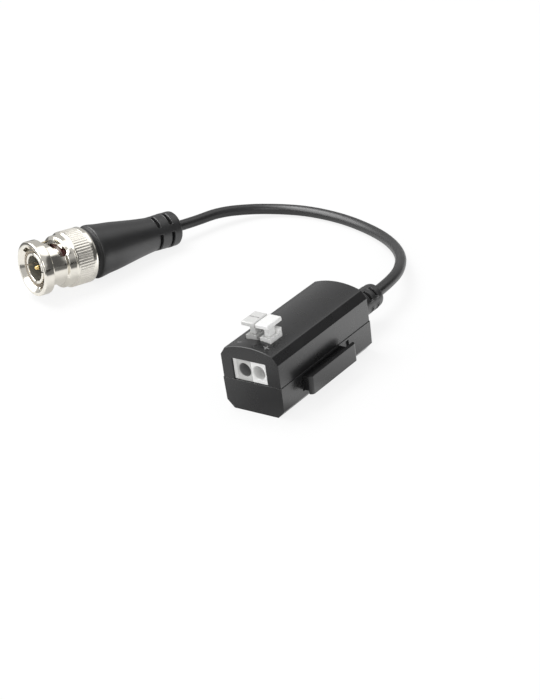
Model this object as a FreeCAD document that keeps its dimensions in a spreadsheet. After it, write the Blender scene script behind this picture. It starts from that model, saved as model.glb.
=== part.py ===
"""Passive video balun: a clip-together case with a push terminal, and a coax pigtail to a bayonet plug.

Millimetres, +Z up. The origin is the middle of the case's flat underside. +Y runs along the case from the
terminal end to the cable end, and +X is the side that carries the rail plate.
"""
import FreeCAD, Part
import math
import os
from types import SimpleNamespace

import Sketcher
from FreeCAD import Placement, Rotation, Vector

SIZES = {
    # case
    "case_width": 15.4,
    "case_length": 34.8,
    "case_wall": 1.3,
    "crown_height": 16.0,
    "arch_edge_height": 14.9,
    "arch_half_width": 6.35,
    "shoulder_height": 13.05,
    "seam_height": 7.45,
    "seam_step": 0.15,
    "base_chamfer_height": 1.8,
    "base_half_width": 5.95,
    "floor_thickness": 1.3,
    "tongue_thickness": 0.6,
    "tongue_height": 1.0,
    "tongue_root": 1.2,
    "tongue_start": 13.6,
    "fit_gap": 0.1,
    # terminal window in the front wall, and the opening in the roof
    "window_left": 4.75,
    "window_right": 4.3,
    "window_top": 12.7,
    "terminal_setback": 0.3,
    # interlocking plate and bracket on the sides
    "rail_start": 7.0,
    "rail_length": 17.7,
    "rail_gap": 2.05,
    "rail_thickness": 1.0,
    "rail_bottom": 3.1,
    "rail_top": 7.35,
    "rail_corner": 0.9,
    "web_inset": 1.2,
    "web_drop": 0.9,
    "recess_depth": 0.3,
    "recess_lead": 0.5,
    "recess_tail": 1.2,
    "recess_drop": 0.4,
    "bracket_reach": 4.2,
    "bracket_wall": 1.2,
    "bracket_shelf": 1.3,
    "bracket_drop": 4.0,
    "bracket_corner": 2.5,
    "bracket_hook": 3.6,
    # circuit board and its parts
    "board_thickness": 1.6,
    "board_underside": 4.0,
    "board_half_width": 6.1,
    "board_front": 1.6,
    "board_rear_gap": 4.6,
    "post_radius": 1.0,
    "post_offset": 4.4,
    "post_inset": 2.0,
    "core_outer_radius": 4.5,
    "core_inner_radius": 2.4,
    "core_thickness": 3.6,
    "core_place": 16.6,
    "magnet_wire": 0.4,
    "winding_turns": 7,
    "suppressor_length": 4.4,
    "suppressor_width": 2.7,
    "suppressor_height": 2.2,
    "suppressor_side": 5.2,
    "suppressor_gap": 1.2,
    "chip_length": 2.0,
    "chip_width": 1.25,
    "chip_height": 0.8,
    "chip_end": 0.4,
    "capacitor_side": 3.4,
    "resistor_side": -2.2,
    "chip_row_start": 22.6,
    "chip_row_step": 2.3,
    # push terminal
    "pole_pitch": 3.81,
    "pole_width": 3.76,
    "pair_centre": 0.1,
    "pole_body_top": 14.0,
    "pole_body_end": 10.5,
    "end_plate_top": 13.4,
    "pole_neck_width": 2.85,
    "pole_neck_start": 4.1,
    "pole_neck_end": 8.4,
    "pole_foot_top": 16.7,
    "pole_block_top": 17.7,
    "pole_block_start": 7.2,
    "wire_bore_radius": 1.5,
    "wire_bore_height": 10.05,
    "funnel_depth": 0.5,
    "funnel_spread": 0.25,
    "cavity_width": 2.6,
    "cavity_start": 4.9,
    "cavity_end": 9.9,
    "cavity_bottom": 6.7,
    "cavity_top": 13.6,
    "current_bar_thickness": 0.5,
    "bar_front_gap": 0.6,
    "clamp_thickness": 0.3,
    "clamp_width": 2.2,
    "clamp_lid_gap": 0.7,
    "leaf_front_gap": 0.35,
    "leaf_offset": 1.35,
    "leaf_lift": 0.2,
    "pin_width": 0.8,
    "pin_below_board": 1.3,
    # levers
    "lever_top": 20.0,
    "lever_plate_thickness": 0.95,
    "lever_plate_width": 3.5,
    "lever_plate_shift": 0.35,
    "lever_plate_start": 3.75,
    "lever_plate_end": 9.1,
    "lever_plate_round": 0.35,
    "lever_stem_width": 1.4,
    "lever_stem_start": 5.0,
    "lever_stem_end": 7.0,
    "lever_heel_width": 2.4,
    "lever_heel_height": 0.6,
    "lever_groove_width": 0.35,
    "lever_groove_depth": 0.3,
    "lever_groove_place": 6.4,
    "lever_groove_inset": 0.45,
    # coax cable and the moulded relief at the case
    "cable_diameter": 2.8,
    "cable_height": 6.5,
    "relief_neck_radius": 2.6,
    "relief_flange_radius": 3.9,
    "relief_flange_thickness": 1.2,
    "relief_base_radius": 3.05,
    "relief_tip_radius": 2.95,
    "relief_length": 13.6,
    "relief_slot_width": 0.65,
    "relief_slot_pitch": 2.3,
    "relief_slot_core": 1.95,
    "relief_slot_span": 2.5,
    "relief_slot_turn": 40.0,
    "relief_slot_end_gap": 3.0,
    "relief_base_length": 1.2,
    "relief_tip_round": 0.8,
    "tail_bond": 1.5,
    "coax_strip": 2.4,
    "dielectric_radius": 0.75,
    "inner_wire_diameter": 0.5,
    "braid_tail_diameter": 0.8,
    # bayonet plug, measured back from the front face of its coupling nut
    "plug_x": -87.65,
    "plug_y": 8.0,
    "plug_heading": 17.28,
    "edge_break": 0.3,
    "nut_mouth_radius": 6.15,
    "nut_mouth_depth": 0.95,
    "nut_flange_radius": 7.05,
    "nut_flange_length": 2.7,
    "nut_neck_radius": 5.9,
    "nut_neck_blend": 0.4,
    "nut_shoulder_radius": 6.75,
    "nut_shoulder_start": 7.0,
    "nut_knurl_radius": 7.25,
    "nut_knurl_start": 9.4,
    "nut_length": 15.2,
    "nut_bore_radius": 4.95,
    "nut_chamber_radius": 6.15,
    "nut_chamber_start": 7.6,
    "nut_lip_start": 12.95,
    "nut_lip_end": 14.35,
    "nut_rear_radius": 5.7,
    "knurl_depth": 0.22,
    "knurl_band_start": 9.9,
    "knurl_band_end": 14.15,
    "knurl_count": 60,
    "entry_width": 2.3,
    "entry_radius": 5.6,
    "ramp_start": 2.8,
    "ramp_rise": 2.8,
    "ramp_turn": -36.0,
    "ramp_sweep": 84.0,
    "contact_front": 0.9,
    "contact_radius": 4.08,
    "contact_bore_radius": 3.3,
    "contact_slot_width": 0.35,
    "contact_slot_length": 4.8,
    "shell_flange_radius": 5.8,
    "shell_flange_start": 8.5,
    "shell_flange_length": 2.25,
    "barrel_radius": 4.4,
    "barrel_end": 16.35,
    "running_gap": 0.05,
    "insulator_front": 5.2,
    "insulator_radius": 2.4,
    "insulator_end": 15.05,
    "pin_radius": 0.675,
    "pin_tip": 1.1,
    "pin_collar_radius": 1.0,
    "pin_collar_start": 11.8,
    "crimp_neck_radius": 2.0,
    "crimp_neck_end": 22.0,
    "crimp_bore_radius": 0.95,
    "ferrule_thickness": 0.45,
    "ferrule_end": 25.5,
    "gasket_length": 1.2,
    "gasket_inner_radius": 4.1,
    "gasket_outer_radius": 4.75,
    "washer_thickness": 0.4,
    "washer_side_gap": 0.3,
    "wave_thickness": 0.3,
    "ring_thickness": 0.5,
    "ring_outer_radius": 5.3,
    "ring_groove_depth": 0.4,
    "ring_split": 1.2,
    # moulded boot on the plug
    "boot_front": 15.5,
    "boot_collar_radius": 6.35,
    "boot_collar_length": 1.1,
    "boot_radius": 7.0,
    "boot_straight_end": 17.6,
    "boot_knee_place": 24.0,
    "boot_knee_radius": 6.2,
    "boot_hip_place": 31.0,
    "boot_hip_radius": 5.1,
    "boot_waist_radius": 4.5,
    "boot_waist_place": 36.0,
    "boot_tail_radius": 4.62,
    "boot_tail_place": 38.0,
    "boot_contact_place": 42.3,
    "boot_length": 43.2,
    "boot_tail_round": 0.9,
    "boot_slot_width": 0.9,
    "boot_slot_pitch": 3.6,
    "boot_slot_core": 3.1,
    "boot_slot_span": 3.9,
    "boot_slot_turn": 28.0,
    "boot_slot_end_gap": 3.65,
}

doc = FreeCAD.newDocument("VideoBalun")
sheet = doc.addObject("Spreadsheet::Sheet", "Sizes")
for row, (alias, size) in enumerate(SIZES.items(), start=1):
    sheet.set(f"A{row}", alias)
    sheet.set(f"B{row}", str(size))
    sheet.setAlias(f"B{row}", alias)
doc.recompute()


class Dim:
    """A length that keeps both its value and the sheet expression that gives it."""

    def __init__(self, number, text):
        self.number = float(number)
        self.text = text

    def __add__(self, other):
        return combine(self, "+", other, lambda a, b: a + b)

    def __radd__(self, other):
        return combine(other, "+", self, lambda a, b: a + b)

    def __sub__(self, other):
        return combine(self, "-", other, lambda a, b: a - b)

    def __rsub__(self, other):
        return combine(other, "-", self, lambda a, b: a - b)

    def __mul__(self, other):
        return combine(self, "*", other, lambda a, b: a * b)

    def __rmul__(self, other):
        return combine(other, "*", self, lambda a, b: a * b)

    def __truediv__(self, other):
        return combine(self, "/", other, lambda a, b: a / b)

    def __neg__(self):
        return Dim(-self.number, f"(-{self.text})")


def as_dim(value):
    return value if isinstance(value, Dim) else Dim(value, f"({float(value)!r})")


def combine(left, sign, right, rule):
    left = as_dim(left)
    right = as_dim(right)
    return Dim(rule(left.number, right.number), f"({left.text} {sign} {right.text})")


s = SimpleNamespace(**{name: Dim(size, f"Sizes.{name}") for name, size in SIZES.items()})

AXIS_TURN = {
    "x": Rotation(Vector(0, 1, 0), 90),
    "y": Rotation(Vector(1, 0, 0), -90),
    "z": Rotation(),
}


def bind(obj, prop, value):
    obj.setExpression(prop, as_dim(value).text)


def put(obj, x, y, z):
    bind(obj, "Placement.Base.x", x)
    bind(obj, "Placement.Base.y", y)
    bind(obj, "Placement.Base.z", z)
    return obj


def box(name, xs, ys, zs):
    """A block between two limits on each axis."""
    obj = doc.addObject("Part::Box", name)
    bind(obj, "Length", as_dim(xs[1]) - xs[0])
    bind(obj, "Width", as_dim(ys[1]) - ys[0])
    bind(obj, "Height", as_dim(zs[1]) - zs[0])
    return put(obj, xs[0], ys[0], zs[0])


def cylinder(name, axis, radius, length, at):
    """A round bar that starts at a point and runs along one axis."""
    obj = doc.addObject("Part::Cylinder", name)
    obj.Placement = Placement(Vector(), AXIS_TURN[axis])
    bind(obj, "Radius", radius)
    bind(obj, "Height", length)
    return put(obj, *at)


def cone(name, axis, radius_start, radius_end, length, at):
    obj = doc.addObject("Part::Cone", name)
    obj.Placement = Placement(Vector(), AXIS_TURN[axis])
    bind(obj, "Radius1", radius_start)
    bind(obj, "Radius2", radius_end)
    bind(obj, "Height", length)
    return put(obj, *at)


def fuse(name, *pieces):
    obj = doc.addObject("Part::MultiFuse", name)
    obj.Shapes = list(pieces)
    obj.Refine = True
    return obj


def cut(name, base, *tools):
    obj = doc.addObject("Part::Cut", name)
    obj.Base = base
    obj.Tool = tools[0] if len(tools) == 1 else fuse(f"{name}_tools", *tools)
    obj.Refine = True
    return obj


def group(name, *pieces):
    """Like pieces that stay separate solids in one node."""
    obj = doc.addObject("Part::Compound", name)
    obj.Links = list(pieces)
    return obj


def sketch_in(body, role, outline, arch=None):
    """A closed sketch through the points of an outline, with one side as an arc of a given radius."""
    sketch = body.newObject("Sketcher::SketchObject", f"{body.Name}_outline")
    plane = next(part for part in body.Origin.OriginFeatures if part.Role == role)
    sketch.AttachmentSupport = [(plane, "")]
    sketch.MapMode = "FlatFace"
    points = [(as_dim(x), as_dim(y)) for x, y in outline]
    count = len(points)
    for index, (x, y) in enumerate(points):
        start = Vector(x.number, y.number, 0)
        following = points[(index + 1) % count]
        end = Vector(following[0].number, following[1].number, 0)
        if arch and arch[0] == index:
            middle = (start + end) / 2 + Vector(0, arch[1].number, 0)
            sketch.addGeometry(Part.Arc(start, middle, end))
        else:
            sketch.addGeometry(Part.LineSegment(start, end))
    for index in range(count):
        sketch.addConstraint(Sketcher.Constraint("Coincident", index, 2, (index + 1) % count, 1))
    for index, (x, y) in enumerate(points):
        for kind, value in (("DistanceX", x), ("DistanceY", y)):
            number = sketch.addConstraint(Sketcher.Constraint(kind, -1, 1, index, 1, value.number))
            sketch.setExpression(f"Constraints[{number}]", value.text)
    if arch:
        half = (points[arch[0]][0] - points[(arch[0] + 1) % count][0]) / 2
        radius = (half * half + arch[1] * arch[1]) / (2 * arch[1])
        number = sketch.addConstraint(Sketcher.Constraint("Radius", arch[0], radius.number))
        sketch.setExpression(f"Constraints[{number}]", radius.text)
    return sketch


def padded_body(name, role, outline, length, arch=None):
    """A bar of one section, centred on its sketch plane."""
    body = doc.addObject("PartDesign::Body", name)
    sketch = sketch_in(body, role, outline, arch)
    pad = body.newObject("PartDesign::Pad", f"{name}_pad")
    pad.Profile = sketch
    pad.Midplane = True
    bind(pad, "Length", length)
    return body


def turned_body(name, outline):
    """A turned piece: radius and place along its axis, which is the body's own Y axis."""
    body = doc.addObject("PartDesign::Body", name)
    sketch = sketch_in(body, "XY_Plane", outline)
    turn = body.newObject("PartDesign::Revolution", f"{name}_turn")
    turn.Profile = sketch
    turn.ReferenceAxis = (sketch, ["V_Axis"])
    turn.Angle = 360
    return body


def round_edges(name, base, radius, wanted):
    """Round the edges that a test picks out by their middle point and direction."""
    doc.recompute()
    obj = doc.addObject("Part::Fillet", name)
    obj.Base = base
    picked = []
    for number, edge in enumerate(base.Shape.Edges, start=1):
        middle = edge.valueAt((edge.FirstParameter + edge.LastParameter) / 2)
        across = edge.valueAt(edge.LastParameter) - edge.valueAt(edge.FirstParameter)
        if wanted(middle, across):
            picked.append((number, radius.number, radius.number))
    obj.Edges = picked
    return obj


def along_z(across):
    return abs(across.z) > 0.9 * across.Length > 0


def finish(obj, label):
    obj.Label = label
    return obj


FRONT = -s.case_length / 2
REAR = s.case_length / 2
HALF = s.case_width / 2
BOARD_REAR = REAR - s.board_rear_gap


def back(place):
    """The Y of a place measured back from the terminal end of the case."""
    return FRONT + place


# Case

def case_bar(name, inset, bottom):
    """The whole case section as a bar, moved in by a wall thickness, from a bottom height up."""
    outline = [
        (-(HALF - inset), bottom),
        (HALF - inset, bottom),
        (HALF - inset, s.shoulder_height - inset / 2),
        (s.arch_half_width - inset, s.arch_edge_height - inset),
        (-(s.arch_half_width - inset), s.arch_edge_height - inset),
        (-(HALF - inset), s.shoulder_height - inset / 2),
    ]
    rise = s.crown_height - s.arch_edge_height
    return padded_body(name, "XZ_Plane", outline, s.case_length - inset * 2, arch=(3, rise))


def tray_bar(name, inset, top, floor):
    """The lower half of the section, with sloping lower corners and walls drawn in a little."""
    step = s.seam_step
    outline = [
        (-(s.base_half_width - inset / 2), floor),
        (s.base_half_width - inset / 2, floor),
        (HALF - inset, s.base_chamfer_height + inset / 2),
        (HALF + step - inset, top),
        (-(HALF + step - inset), top),
        (-(HALF - inset), s.base_chamfer_height + inset / 2),
    ]
    return padded_body(name, "XZ_Plane", outline, s.case_length - inset * 2)


NECK_SIDE = s.pole_neck_width / 2 + s.fit_gap
POLES = {
    "minus": s.pair_centre - s.pole_pitch / 2,
    "plus": s.pair_centre + s.pole_pitch / 2,
}
cable_hole = cylinder("cable_hole", "y", s.relief_neck_radius + s.fit_gap, s.case_wall * 3,
                      (0, REAR - s.case_wall * 2, s.cable_height))


def make_upper_shell():
    outer = case_bar("upper_outer", as_dim(0), s.seam_height)
    inner = case_bar("upper_inner", s.case_wall, s.seam_height - 1)
    window = box("window", (-s.window_left, s.window_right), (FRONT - 1, back(s.case_wall * 2)),
                 (s.seam_height - 1, s.window_top))
    roof_hole = box("roof_hole", (POLES["minus"] - NECK_SIDE, POLES["plus"] + NECK_SIDE),
                    (back(s.pole_neck_start - s.fit_gap), back(s.pole_neck_end + s.fit_gap)),
                    (s.window_top, s.crown_height + 1))
    case_top = cut("upper_case", outer, inner, window, roof_hole, cable_hole)
    return finish(fuse("upper_with_bracket", case_top, make_bracket()), "upper_shell")


def make_bracket():
    """Shelf on the -X side whose two hooked ends take the rail plate of a case alongside."""
    first = back(s.rail_start - s.bracket_wall - s.fit_gap * 2)
    last = back(s.rail_start + s.rail_length + s.bracket_wall + s.fit_gap * 2)
    outside = -(HALF + s.bracket_reach)
    shelf_under = s.seam_height + s.fit_gap
    wall_side = -(HALF + s.seam_step + s.fit_gap)
    block = box("bracket_block", (outside, -HALF), (first, last),
                (shelf_under - s.bracket_drop, shelf_under + s.bracket_shelf))
    rounded = round_edges("bracket_rounded", block, s.bracket_corner,
                          lambda middle, across: along_z(across) and middle.x < -HALF.number - 1)
    pocket = box("bracket_pocket", (outside + s.bracket_wall, -HALF + 1),
                 (first + s.bracket_wall, last - s.bracket_wall), (0, shelf_under))
    pocket_rounded = round_edges("bracket_pocket_rounded", pocket, s.bracket_corner - s.bracket_wall,
                                 lambda middle, across: along_z(across) and middle.x < -HALF.number - 1)
    mouth = box("bracket_mouth", (outside - 1, outside + s.bracket_wall + 1),
                (first + s.bracket_hook, last - s.bracket_hook), (0, shelf_under))
    wall_gap = box("bracket_wall_gap", (wall_side, -HALF + 1), (first - 1, last + 1), (0, shelf_under))
    return cut("bracket", rounded, pocket_rounded, mouth, wall_gap)


def make_lower_shell():
    outer = tray_bar("lower_outer", as_dim(0), s.seam_height, as_dim(0))
    inner = tray_bar("lower_inner", s.case_wall, s.seam_height + 1, s.floor_thickness)
    rail_first = back(s.rail_start)
    rail_last = back(s.rail_start + s.rail_length)
    recess = box("rail_recess", (HALF - s.recess_depth, HALF + 1),
                 (rail_first + s.recess_lead, rail_last + s.recess_tail),
                 (s.rail_bottom, s.rail_top - s.recess_drop))
    tray = cut("lower_tray", outer, inner, recess, cable_hole)
    plate_side = HALF + s.rail_gap
    plate = box("rail_plate", (plate_side, plate_side + s.rail_thickness), (rail_first, rail_last),
                (s.rail_bottom, s.rail_top))
    plate = round_edges("rail_plate_rounded", plate, s.rail_corner,
                        lambda middle, across: along_z(across) and middle.x > plate_side.number + 0.5)
    web = box("rail_web", (HALF - s.case_wall / 2, plate_side + s.rail_thickness / 2),
              (rail_first + s.web_inset, rail_last - s.web_inset), (s.rail_bottom, s.rail_top - s.web_drop))
    extras = [plate, web]
    tongue_side = HALF - s.case_wall - s.fit_gap
    for name, sign in (("left", -1), ("right", 1)):
        inner_face = sign * (tongue_side - s.tongue_thickness)
        top_part = sorted((inner_face, sign * tongue_side), key=lambda d: d.number)
        root_part = sorted((inner_face, sign * (HALF - s.case_wall / 2)), key=lambda d: d.number)
        reach = (back(s.tongue_start), BOARD_REAR)
        root = s.seam_height - s.tongue_root
        extras.append(box(f"tongue_{name}", top_part, reach, (root, s.seam_height + s.tongue_height)))
        extras.append(box(f"tongue_root_{name}", root_part, reach, (root, s.seam_height)))
        for end, place in (("front", back(s.board_front + s.post_inset)),
                           ("rear", BOARD_REAR - s.post_inset)):
            extras.append(cylinder(f"post_{name}_{end}", "z", s.post_radius,
                                   s.board_underside - s.floor_thickness / 2,
                                   (sign * s.post_offset, place, s.floor_thickness / 2)))
    return finish(fuse("lower_with_rail", tray, *extras), "lower_shell")


# Push terminal

PIN_PLACE = back(s.cavity_end - s.pin_width)
BAR_TOP = s.wire_bore_height - s.wire_bore_radius - s.fit_gap
HEEL_TOP = s.cavity_top - s.fit_gap
LEAF_LEAN = 18
LEAF_REACH = 0.97


def make_pole(sign, centre):
    """One pole of the terminal: wire bore at the front, lever slot and rear block on top."""
    half = s.pole_width / 2
    sides = (centre - half, centre + half)
    neck = (centre - s.pole_neck_width / 2, centre + s.pole_neck_width / 2)
    board_top = s.board_underside + s.board_thickness
    nose_sides = sides if sign == "minus" else (sides[0], s.window_right - s.fit_gap)
    nose = box(f"pole_nose_{sign}", nose_sides, (back(s.terminal_setback), back(s.case_wall + 1)),
               (s.seam_height + s.fit_gap, s.window_top - s.fit_gap))
    trunk = box(f"pole_trunk_{sign}", sides, (back(s.case_wall + s.fit_gap), back(s.pole_body_end)),
                (board_top, s.pole_body_top))
    upper = box(f"pole_neck_{sign}", neck, (back(s.pole_neck_start), back(s.pole_neck_end)),
                (s.pole_body_top - 1, s.pole_foot_top))
    block = box(f"pole_block_{sign}", neck, (back(s.pole_block_start), back(s.pole_neck_end)),
                (s.pole_body_top - 1, s.pole_block_top))
    solid = fuse(f"pole_solid_{sign}", nose, trunk, upper, block)
    bore = cylinder(f"wire_bore_{sign}", "y", s.wire_bore_radius, s.cavity_start - s.terminal_setback + 1,
                    (centre, back(s.terminal_setback), s.wire_bore_height))
    funnel = cone(f"wire_funnel_{sign}", "y", s.wire_bore_radius + s.funnel_spread, s.wire_bore_radius,
                  s.funnel_depth, (centre, back(s.terminal_setback), s.wire_bore_height))
    cavity = box(f"pole_cavity_{sign}", (centre - s.cavity_width / 2, centre + s.cavity_width / 2),
                 (back(s.cavity_start), back(s.cavity_end)), (s.cavity_bottom, s.cavity_top))
    slot_half = s.lever_stem_width / 2 + s.fit_gap
    slot = box(f"lever_slot_{sign}", (centre - slot_half, centre + slot_half),
               (back(s.lever_stem_start - s.fit_gap), back(s.lever_stem_end + s.fit_gap)),
               (s.cavity_top - 1, s.pole_block_top + 1))
    pin_half = s.pin_width / 2 + s.fit_gap
    pin_hole = box(f"pin_hole_{sign}", (centre - pin_half, centre + pin_half),
                   (PIN_PLACE - pin_half, PIN_PLACE + pin_half), (board_top - 1, s.cavity_bottom + 1))
    return finish(cut(f"pole_{sign}", solid, bore, funnel, cavity, slot, pin_hole), f"terminal_pole_{sign}")


def make_contact(sign, centre):
    """Current bar under the wire, with the solder pin that goes through the board."""
    half = s.clamp_width / 2
    bar = box(f"current_bar_{sign}", (centre - half, centre + half),
              (back(s.cavity_start + s.bar_front_gap), back(s.cavity_end - s.fit_gap)),
              (BAR_TOP - s.current_bar_thickness, BAR_TOP))
    pin_half = s.pin_width / 2
    pin = box(f"solder_pin_{sign}", (centre - pin_half, centre + pin_half),
              (PIN_PLACE - pin_half, PIN_PLACE + pin_half),
              (s.board_underside - s.pin_below_board, BAR_TOP - s.current_bar_thickness / 2))
    return finish(fuse(f"contact_{sign}", bar, pin), f"current_bar_{sign}")


def make_clamp(sign, centre):
    """Bent leaf spring: up the rear of its cavity, over the top and down to press a wire on the bar."""
    xs = (centre - s.clamp_width / 2, centre + s.clamp_width / 2)
    rear = back(s.cavity_end - s.fit_gap)
    front = back(s.lever_stem_end + s.leaf_front_gap)
    top = s.cavity_top - s.clamp_lid_gap
    back_leg = box(f"clamp_back_{sign}", xs, (rear - s.clamp_thickness, rear), (BAR_TOP, top))
    bridge = box(f"clamp_bridge_{sign}", xs, (front, rear), (top - s.clamp_thickness, top))
    leaf = doc.addObject("Part::Box", f"clamp_leaf_{sign}")
    leaf.Placement = Placement(Vector(), Rotation(Vector(1, 0, 0), LEAF_LEAN))
    bind(leaf, "Length", s.clamp_width)
    bind(leaf, "Width", s.clamp_thickness)
    bind(leaf, "Height", (top - BAR_TOP) * LEAF_REACH)
    put(leaf, xs[0], front + s.leaf_offset, BAR_TOP + s.leaf_lift)
    return finish(fuse(f"clamp_{sign}", back_leg, bridge, leaf), f"clamp_spring_{sign}")


def make_lever(sign, centre):
    """T-shaped push lever: a flat thumb plate on a stem that ends in a wider heel."""
    middle = centre - s.lever_plate_shift
    plate = box(f"thumb_plate_{sign}", (middle - s.lever_plate_width / 2, middle + s.lever_plate_width / 2),
                (back(s.lever_plate_start), back(s.lever_plate_end)),
                (s.lever_top - s.lever_plate_thickness, s.lever_top))
    plate = round_edges(f"thumb_plate_round_{sign}", plate, s.lever_plate_round,
                        lambda point, across: point.z > s.lever_top.number - 0.1 or along_z(across))
    stem = box(f"lever_stem_{sign}", (centre - s.lever_stem_width / 2, centre + s.lever_stem_width / 2),
               (back(s.lever_stem_start), back(s.lever_stem_end)),
               (HEEL_TOP - s.lever_heel_height / 2, s.lever_top - s.lever_plate_thickness / 2))
    heel = box(f"lever_heel_{sign}", (centre - s.lever_heel_width / 2, centre + s.lever_heel_width / 2),
               (back(s.lever_stem_start), back(s.lever_stem_end)),
               (HEEL_TOP - s.lever_heel_height, HEEL_TOP))
    lever = fuse(f"lever_{sign}", plate, stem, heel)
    if sign == "minus":
        groove_half = s.lever_plate_width / 2 - s.lever_groove_inset
        groove = box("polarity_groove", (middle - groove_half, middle + groove_half),
                     (back(s.lever_groove_place), back(s.lever_groove_place + s.lever_groove_width)),
                     (s.lever_top - s.lever_groove_depth, s.lever_top + 1))
        lever = cut("lever_minus_grooved", lever, groove)
    return finish(lever, f"push_lever_{sign}")


def make_end_plate():
    """Thin plate that closes the open side of the terminal strip."""
    side = POLES["minus"] - s.pole_width / 2 - (s.pole_pitch - s.pole_width)
    outside = -s.window_left + s.fit_gap
    nose = box("end_plate_nose", (outside, side), (back(s.terminal_setback), back(s.case_wall + 1)),
               (s.seam_height + s.fit_gap, s.window_top - s.fit_gap))
    trunk = box("end_plate_trunk", (outside, side), (back(s.case_wall + s.fit_gap), back(s.pole_body_end)),
                (s.board_underside + s.board_thickness, s.end_plate_top))
    return finish(fuse("end_plate", nose, trunk), "terminal_end_plate")


# Circuit board and parts

BOARD_TOP = s.board_underside + s.board_thickness
PAD_GAP = 0.02
CHIPS_IN_ROW = 2
WIRE_SLACK = 0.05


def make_board():
    plate = box("board_plate", (-s.board_half_width, s.board_half_width),
                (back(s.board_front), BOARD_REAR), (s.board_underside, BOARD_TOP))
    holes = []
    for sign, centre in POLES.items():
        holes.append(cylinder(f"board_hole_{sign}", "z", s.pin_width * 0.8, s.board_thickness + 2,
                              (centre, PIN_PLACE, s.board_underside - 1)))
    return finish(cut("board", plate, *holes), "circuit_board")


CORE_BASE = BOARD_TOP + s.magnet_wire + s.fit_gap


def make_core():
    centre = (0, back(s.core_place), CORE_BASE)
    outer = cylinder("core_outer", "z", s.core_outer_radius, s.core_thickness, centre)
    inner = cylinder("core_inner", "z", s.core_inner_radius, s.core_thickness + 2,
                     (0, back(s.core_place), CORE_BASE - 1))
    return finish(cut("core", outer, inner), "ferrite_core")


def make_winding(label, first_angle):
    """Half of the bifilar transformer: wire turns spread over half of the ring core."""
    turns = []
    wire = s.magnet_wire
    near = s.core_inner_radius - WIRE_SLACK
    far = s.core_outer_radius + WIRE_SLACK
    low = CORE_BASE - WIRE_SLACK
    high = CORE_BASE + s.core_thickness + WIRE_SLACK
    for turn in range(SIZES["winding_turns"]):
        angle = first_angle + turn * 180 / SIZES["winding_turns"]
        loop = box(f"{label}_outside_{turn}", (near - wire, far + wire), (-wire / 2, wire / 2),
                   (low - wire, high + wire))
        hollow = box(f"{label}_inside_{turn}", (near, far), (-wire, wire), (low, high))
        ring = cut(f"{label}_turn_{turn}", loop, hollow)
        ring.Placement = Placement(Vector(0, 0, 0), Rotation(Vector(0, 0, 1), angle))
        bind(ring, "Placement.Base.y", back(s.core_place))
        turns.append(ring)
    return finish(group(label, *turns), label)


def make_suppressor():
    start = back(s.core_place + s.core_outer_radius + s.suppressor_gap)
    side = -s.suppressor_side
    body = box("suppressor_body", (side, side + s.suppressor_width), (start, start + s.suppressor_length),
               (BOARD_TOP + PAD_GAP, BOARD_TOP + s.suppressor_height))
    return finish(body, "surge_suppressor")


def make_chips(label, x):
    """Surface-mount chips in one node, each a separate solid."""
    chips = []
    for number in range(CHIPS_IN_ROW):
        start = back(s.chip_row_start + s.chip_row_step * number)
        middle = box(f"{label}_body_{number}", (x, x + s.chip_width),
                     (start + s.chip_end, start + s.chip_length - s.chip_end),
                     (BOARD_TOP + PAD_GAP * 2, BOARD_TOP + s.chip_height))
        ends = [box(f"{label}_end_{number}_{side}", (x, x + s.chip_width), (near, near + s.chip_end),
                    (BOARD_TOP, BOARD_TOP + s.chip_height + PAD_GAP))
                for side, near in ((0, start), (1, start + s.chip_length - s.chip_end))]
        chips.append(fuse(f"{label}_{number}", middle, *ends))
    return finish(group(label, *chips), label)


# Tubes along a path: straight runs joined by tangent arcs

ARC_SHARE = 0.45


def tube_path(points):
    """The path through a route's points, its arc radii, and its whole length."""
    edges = []
    radii = []
    here = points[0]
    for before, corner, after in zip(points, points[1:], points[2:]):
        incoming = (corner - before).normalize()
        outgoing = (after - corner).normalize()
        shorter = min((corner - before).Length, (after - corner).Length)
        setback = ARC_SHARE * shorter
        half_turn = incoming.getAngle(outgoing) / 2
        radius = setback / math.tan(half_turn)
        radii.append(radius)
        arc_start = corner - incoming * setback
        arc_end = corner + outgoing * setback
        inward = (outgoing - incoming).normalize()
        middle = corner + inward * (radius / math.cos(half_turn) - radius)
        edges.append(Part.LineSegment(here, arc_start).toShape())
        edges.append(Part.Arc(arc_start, middle, arc_end).toShape())
        here = arc_end
    edges.append(Part.LineSegment(here, points[-1]).toShape())
    return Part.Wire(edges), radii


def tube(label, points, diameter):
    """A round wire or cable along a route, checked against its section times its length."""
    path, radii = tube_path(points)
    circle = Part.makeCircle(diameter / 2, points[0], points[1] - points[0])
    shape = path.makePipeShell([Part.Wire(circle)], True, False)
    obj = doc.addObject("Part::Feature", label)
    obj.Shape = shape
    expected = math.pi * diameter ** 2 / 4 * path.Length
    print(f"{label}: length {path.Length:.2f}, radii {[round(radius, 1) for radius in radii]}, "
          f"volume {shape.Volume:.1f} against {expected:.1f}")
    return finish(obj, label)


# Moulded relief where the cable leaves the case

SLOT_ROWS = 2
SLOTS_IN_ROW = 4
RELIEF_INSIDE = REAR - s.case_wall - s.relief_flange_thickness
RELIEF_END = REAR + s.relief_length


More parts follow.
